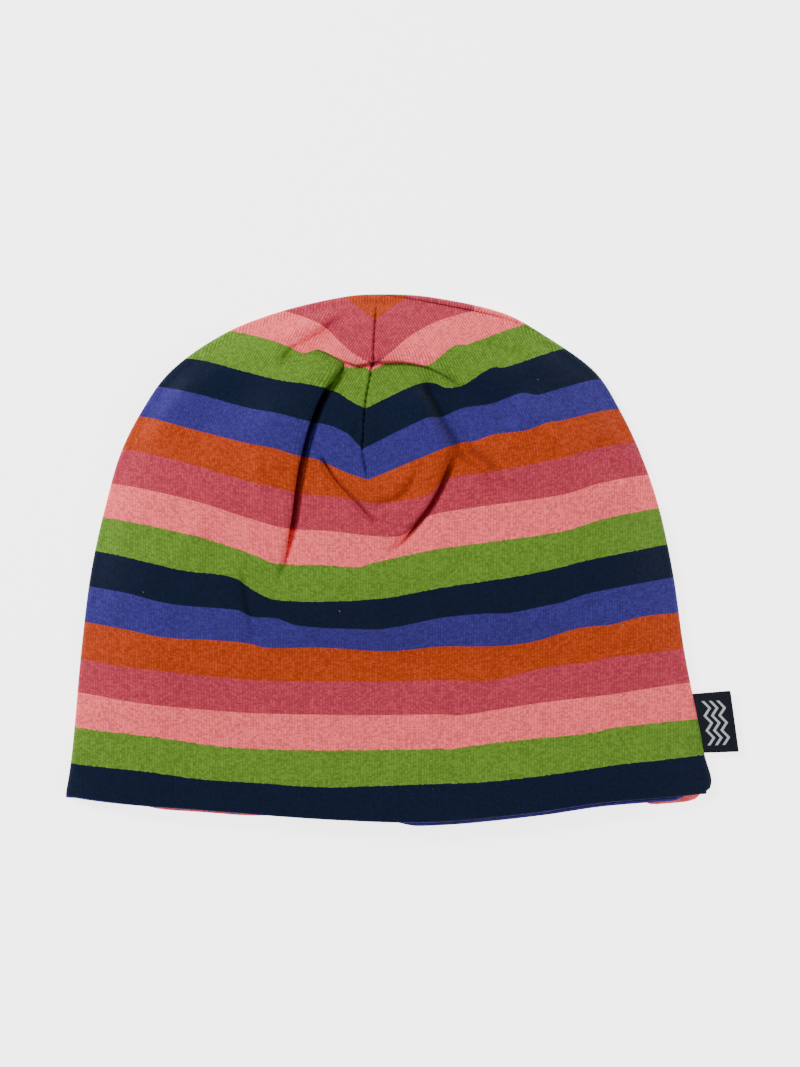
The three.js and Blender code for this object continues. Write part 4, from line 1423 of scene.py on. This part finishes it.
@dataclass
class SeamStitches:
    """Small stitches that bridge the dart and the seam round the cap."""

    shell: OuterShell
    thread: bpy.types.Material
    spacing: float = 2.6
    length: float = 0.9
    radius: float = 0.11
    turn: float = 0.5  # how far a stitch is turned against the line, in radians
    dart_spots: tuple[float, float, int] = (0.03, 0.97, 90)  # from, to, how many
    seam_spots: tuple[float, float, int] = (0.004, 0.996, 700)
    dart_sink: float = 0.02
    seam_sink: float = 0.42

    def tree(self) -> Repeats:
        """Builds the tree that lays one stitch across the line at every step."""
        book = Repeats("stitches", {
            "Spacing": ("NodeSocketFloat", self.spacing * MM), "Length": ("NodeSocketFloat", self.length * MM),
            "Radius": ("NodeSocketFloat", self.radius * MM), "Turn": ("NodeSocketFloat", self.turn),
            "Seed": ("NodeSocketInt", SEED), "Finish": ("NodeSocketMaterial", self.thread)})
        curve = book.node("GeometryNodeMeshToCurve", {}, {"Mesh": book.given("Geometry")})
        steps = book.node("GeometryNodeResampleCurve", {"mode": "LENGTH"},
                          {"Curve": curve.outputs[0], "Length": book.given("Spacing")})
        tangent = book.node("GeometryNodeInputTangent", {}, {})
        face = book.node("FunctionNodeAlignEulerToVector", {"axis": "X"}, {"Vector": tangent.outputs[0]})
        wobble = book.node("FunctionNodeRandomValue", {"data_type": "FLOAT"},
                           {"Min": 0.8, "Max": 1.15, "Seed": book.given("Seed")})
        ball = book.node("GeometryNodeMeshUVSphere", {}, {"Segments": 8, "Rings": 6, "Radius": 1.0})
        size = book.node("ShaderNodeCombineXYZ", {}, {"X": book.given("Radius"), "Y": book.given("Length"),
                                                      "Z": book.given("Radius")})
        half = book.node("ShaderNodeVectorMath", {"operation": "MULTIPLY"}, {0: size.outputs[0], 1: (1, 0.5, 1)})
        turn = book.node("ShaderNodeCombineXYZ", {}, {"Z": book.given("Turn")})
        stitch = book.node("GeometryNodeTransform", {}, {"Geometry": ball.outputs["Mesh"],
                                                         "Scale": half.outputs[0], "Rotation": turn.outputs[0]})
        put = book.node("GeometryNodeInstanceOnPoints", {}, {
            "Points": steps.outputs[0], "Instance": stitch.outputs[0], "Rotation": face.outputs[0],
            "Scale": wobble.outputs["Value"]})
        book.finish(put.outputs[0])
        return book

    def make(self) -> bpy.types.Object:
        """Builds the stitches."""
        shell, cut = self.shell, self.shell.cut
        spots = shell.folds.dart.at(np.linspace(*self.dart_spots))
        height, lean = shell.front_height(spots)
        dart = raised(spots + lean, height - self.dart_sink)
        shares = np.linspace(*self.seam_spots)
        angle = math.pi - cut.seam_angle(shares)
        radius = cut.roll - self.seam_sink
        inset = cut.roll - radius * np.sin(angle)
        seam = raised(cut.inset_point(shares, inset), cut.roll + radius * np.cos(angle))
        base = line_object("stitch_lines", [dart, seam], shell.shift)
        piece = self.tree().grow("seam_stitches", base)
        return piece


@dataclass
class Lint:
    """Short loose fibres that cling to the jersey."""

    shell: OuterShell
    fibre: bpy.types.Material
    density: float = 520.0  # fibres to a square metre
    length: float = 0.6
    radius: float = 0.035
    cells: tuple[int, int] = (60, 50)
    inset: float = 8.0  # how far inside the edge the fibres stay
    above_hem: float = 3.0
    lift: float = 0.03

    def tree(self) -> Repeats:
        """Builds the tree that scatters bent fibres over a face."""
        book = Repeats("lint", {
            "Density": ("NodeSocketFloat", self.density), "Length": ("NodeSocketFloat", self.length * MM),
            "Radius": ("NodeSocketFloat", self.radius * MM), "Seed": ("NodeSocketInt", SEED),
            "Finish": ("NodeSocketMaterial", self.fibre)})
        spread = book.node("GeometryNodeDistributePointsOnFaces", {}, {
            "Mesh": book.given("Geometry"), "Density": book.given("Density"), "Seed": book.given("Seed")})
        reach = book.node("ShaderNodeCombineXYZ", {}, {"X": book.given("Length")})
        middle = book.node("ShaderNodeVectorMath", {"operation": "MULTIPLY_ADD"},
                           {0: reach.outputs[0], 1: (0.5, 0.5, 0.5), 2: (0.0, 0.00035, 0.0001)})
        arc = book.node("GeometryNodeCurveQuadraticBezier", {}, {
            "Resolution": 5, "Start": (0.0, 0.0, 0.0), "Middle": middle.outputs[0], "End": reach.outputs[0]})
        ring = book.node("GeometryNodeCurvePrimitiveCircle", {}, {"Resolution": 5, "Radius": book.given("Radius")})
        tube = book.node("GeometryNodeCurveToMesh", {}, {"Curve": arc.outputs[0], "Profile Curve": ring.outputs[0],
                                                         "Fill Caps": True})
        spin = book.node("FunctionNodeRandomValue", {"data_type": "FLOAT"},
                         {"Min": 0.0, "Max": math.tau, "Seed": book.given("Seed")})
        size = book.node("FunctionNodeRandomValue", {"data_type": "FLOAT"},
                         {"Min": 0.35, "Max": 1.2, "Seed": book.given("Seed")})
        turn = book.node("ShaderNodeCombineXYZ", {}, {"Z": spin.outputs["Value"]})
        local = book.node("FunctionNodeRotateEuler", {"rotation_type": "EULER", "space": "LOCAL"},
                          {"Rotation": spread.outputs["Rotation"], "Rotate By": turn.outputs[0]})
        put = book.node("GeometryNodeInstanceOnPoints", {}, {
            "Points": spread.outputs["Points"], "Instance": tube.outputs[0], "Rotation": local.outputs[0],
            "Scale": size.outputs["Value"]})
        book.finish(put.outputs[0])
        return book

    def make(self) -> bpy.types.Object:
        """Builds the lint over the front."""
        shell = self.shell
        spots = Weave(*self.cells).grid(shell.cut, self.inset, self.above_hem, shell.cut.hem_line)
        height, lean = shell.front_height(spots)
        places = (raised(spots + lean, height + self.lift) + shell.shift) * MM
        numbers = np.arange(spots.shape[0] * spots.shape[1]).reshape(spots.shape[:2])
        quads = np.stack([numbers[:-1, :-1], numbers[:-1, 1:], numbers[1:, 1:], numbers[1:, :-1]], axis=-1)
        mesh = bpy.data.meshes.new("lint_field")
        mesh.from_pydata(places.reshape(-1, 3).tolist(), [], quads.reshape(-1, 4).tolist())
        piece = self.tree().grow("lint_fibres", placed("lint_field", mesh))
        return piece


@dataclass
class Studio:
    """The pale floor, the soft lights and the camera straight above."""

    shift: np.ndarray
    lens: float = 85.0
    sensor: float = 36.0
    picture: tuple[int, int] = (800, 1067)
    plane: float = 6.5  # height of the plane whose scale the picture keeps
    floor_half: float = 2.0  # metres
    floor_drop: float = 0.0002  # metres
    air: float = 0.17  # strength of the surroundings' light
    lamps: tuple = (  # name, place in metres, size in metres, watts
        ("key_light", (-0.9, 0.62, 1.0), 0.45, 26.0), ("fill_light", (1.0, -0.45, 0.9), 0.6, 13.0))

    def make(self) -> None:
        """Sets up the floor, lights, surroundings and camera."""
        self.floor()
        self.lights()
        self.camera()

    def floor(self) -> None:
        """Lays the floor."""
        mesh = bpy.data.meshes.new("studio_floor")
        half = self.floor_half
        corners = [(-half, -half), (half, -half), (half, half), (-half, half)]
        mesh.from_pydata([(x, y, -self.floor_drop) for x, y in corners], [], [(0, 1, 2, 3)])
        item = placed("studio_floor", mesh)
        item.data.materials.append(StudioPaper("studio_paper").make())

    def lights(self) -> None:
        """Hangs a soft key light at the upper left and a weak fill, and lights the surroundings."""
        for name, place, size, power in self.lamps:
            light = bpy.data.lights.new(name, "AREA")
            light.size = size
            light.energy = power
            item = placed(name, light)
            item.location = place
            item.rotation_euler = (-Vector(place)).to_track_quat("-Z", "Y").to_euler()
        world = bpy.data.worlds.new("studio_air")
        world.use_nodes = True
        air = world.node_tree.nodes["Background"].inputs
        air["Color"].default_value = (1.0, 1.0, 1.0, 1.0)
        air["Strength"].default_value = self.air
        bpy.context.scene.world = world

    def camera(self) -> None:
        """Puts the camera straight above, at the picture's scale."""
        camera = bpy.data.cameras.new("camera")
        camera.lens = self.lens
        camera.sensor_width = self.sensor
        item = placed("camera", camera)
        x, y = plan(self.picture[0] / 2, self.picture[1] / 2)
        span = self.picture[1] * UNIT
        away = span * self.lens / self.sensor
        item.location = ((x + self.shift[0]) * MM, (y + self.shift[1]) * MM, (self.plane + away) * MM)
        bpy.context.scene.camera = item


def main() -> None:
    logging.basicConfig(level=logging.INFO, format="%(name)s: %(message)s")
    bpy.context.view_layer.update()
    low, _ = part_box("front_panel")
    cut = Cut()
    shift = np.array([low[0] / MM + cut.widest_left * cut.half_hem, low[1] / MM, 0.0])
    LOG.info("plan origin in the frame: %.2f, %.2f mm", shift[0], shift[1])
    jersey = Jersey("striped_jersey").make()
    shell = OuterShell(cut, FoldField(cut), StripeMap(), jersey, shift)
    lining = Lining(cut, Jersey("lining_jersey").make(), shift)
    pieces = [shell.make_front(), shell.make_back()]
    pieces += [lining.make(side) for side in LiningSide]
    pieces.append(SideLabel(cut, WovenBadge("woven_badge").make(), shift).make())
    pieces.append(SeamStitches(shell, Yarn("seam_thread", (58, 40, 52)).make()).make())
    pieces.append(Lint(shell, Yarn("lint_fibre", (206, 196, 190)).make()).make())
    for piece in pieces:
        LOG.info("%s: %d faces", piece.name, len(piece.data.polygons))
    Studio(shift).make()


if __name__ == "__main__":
    main()
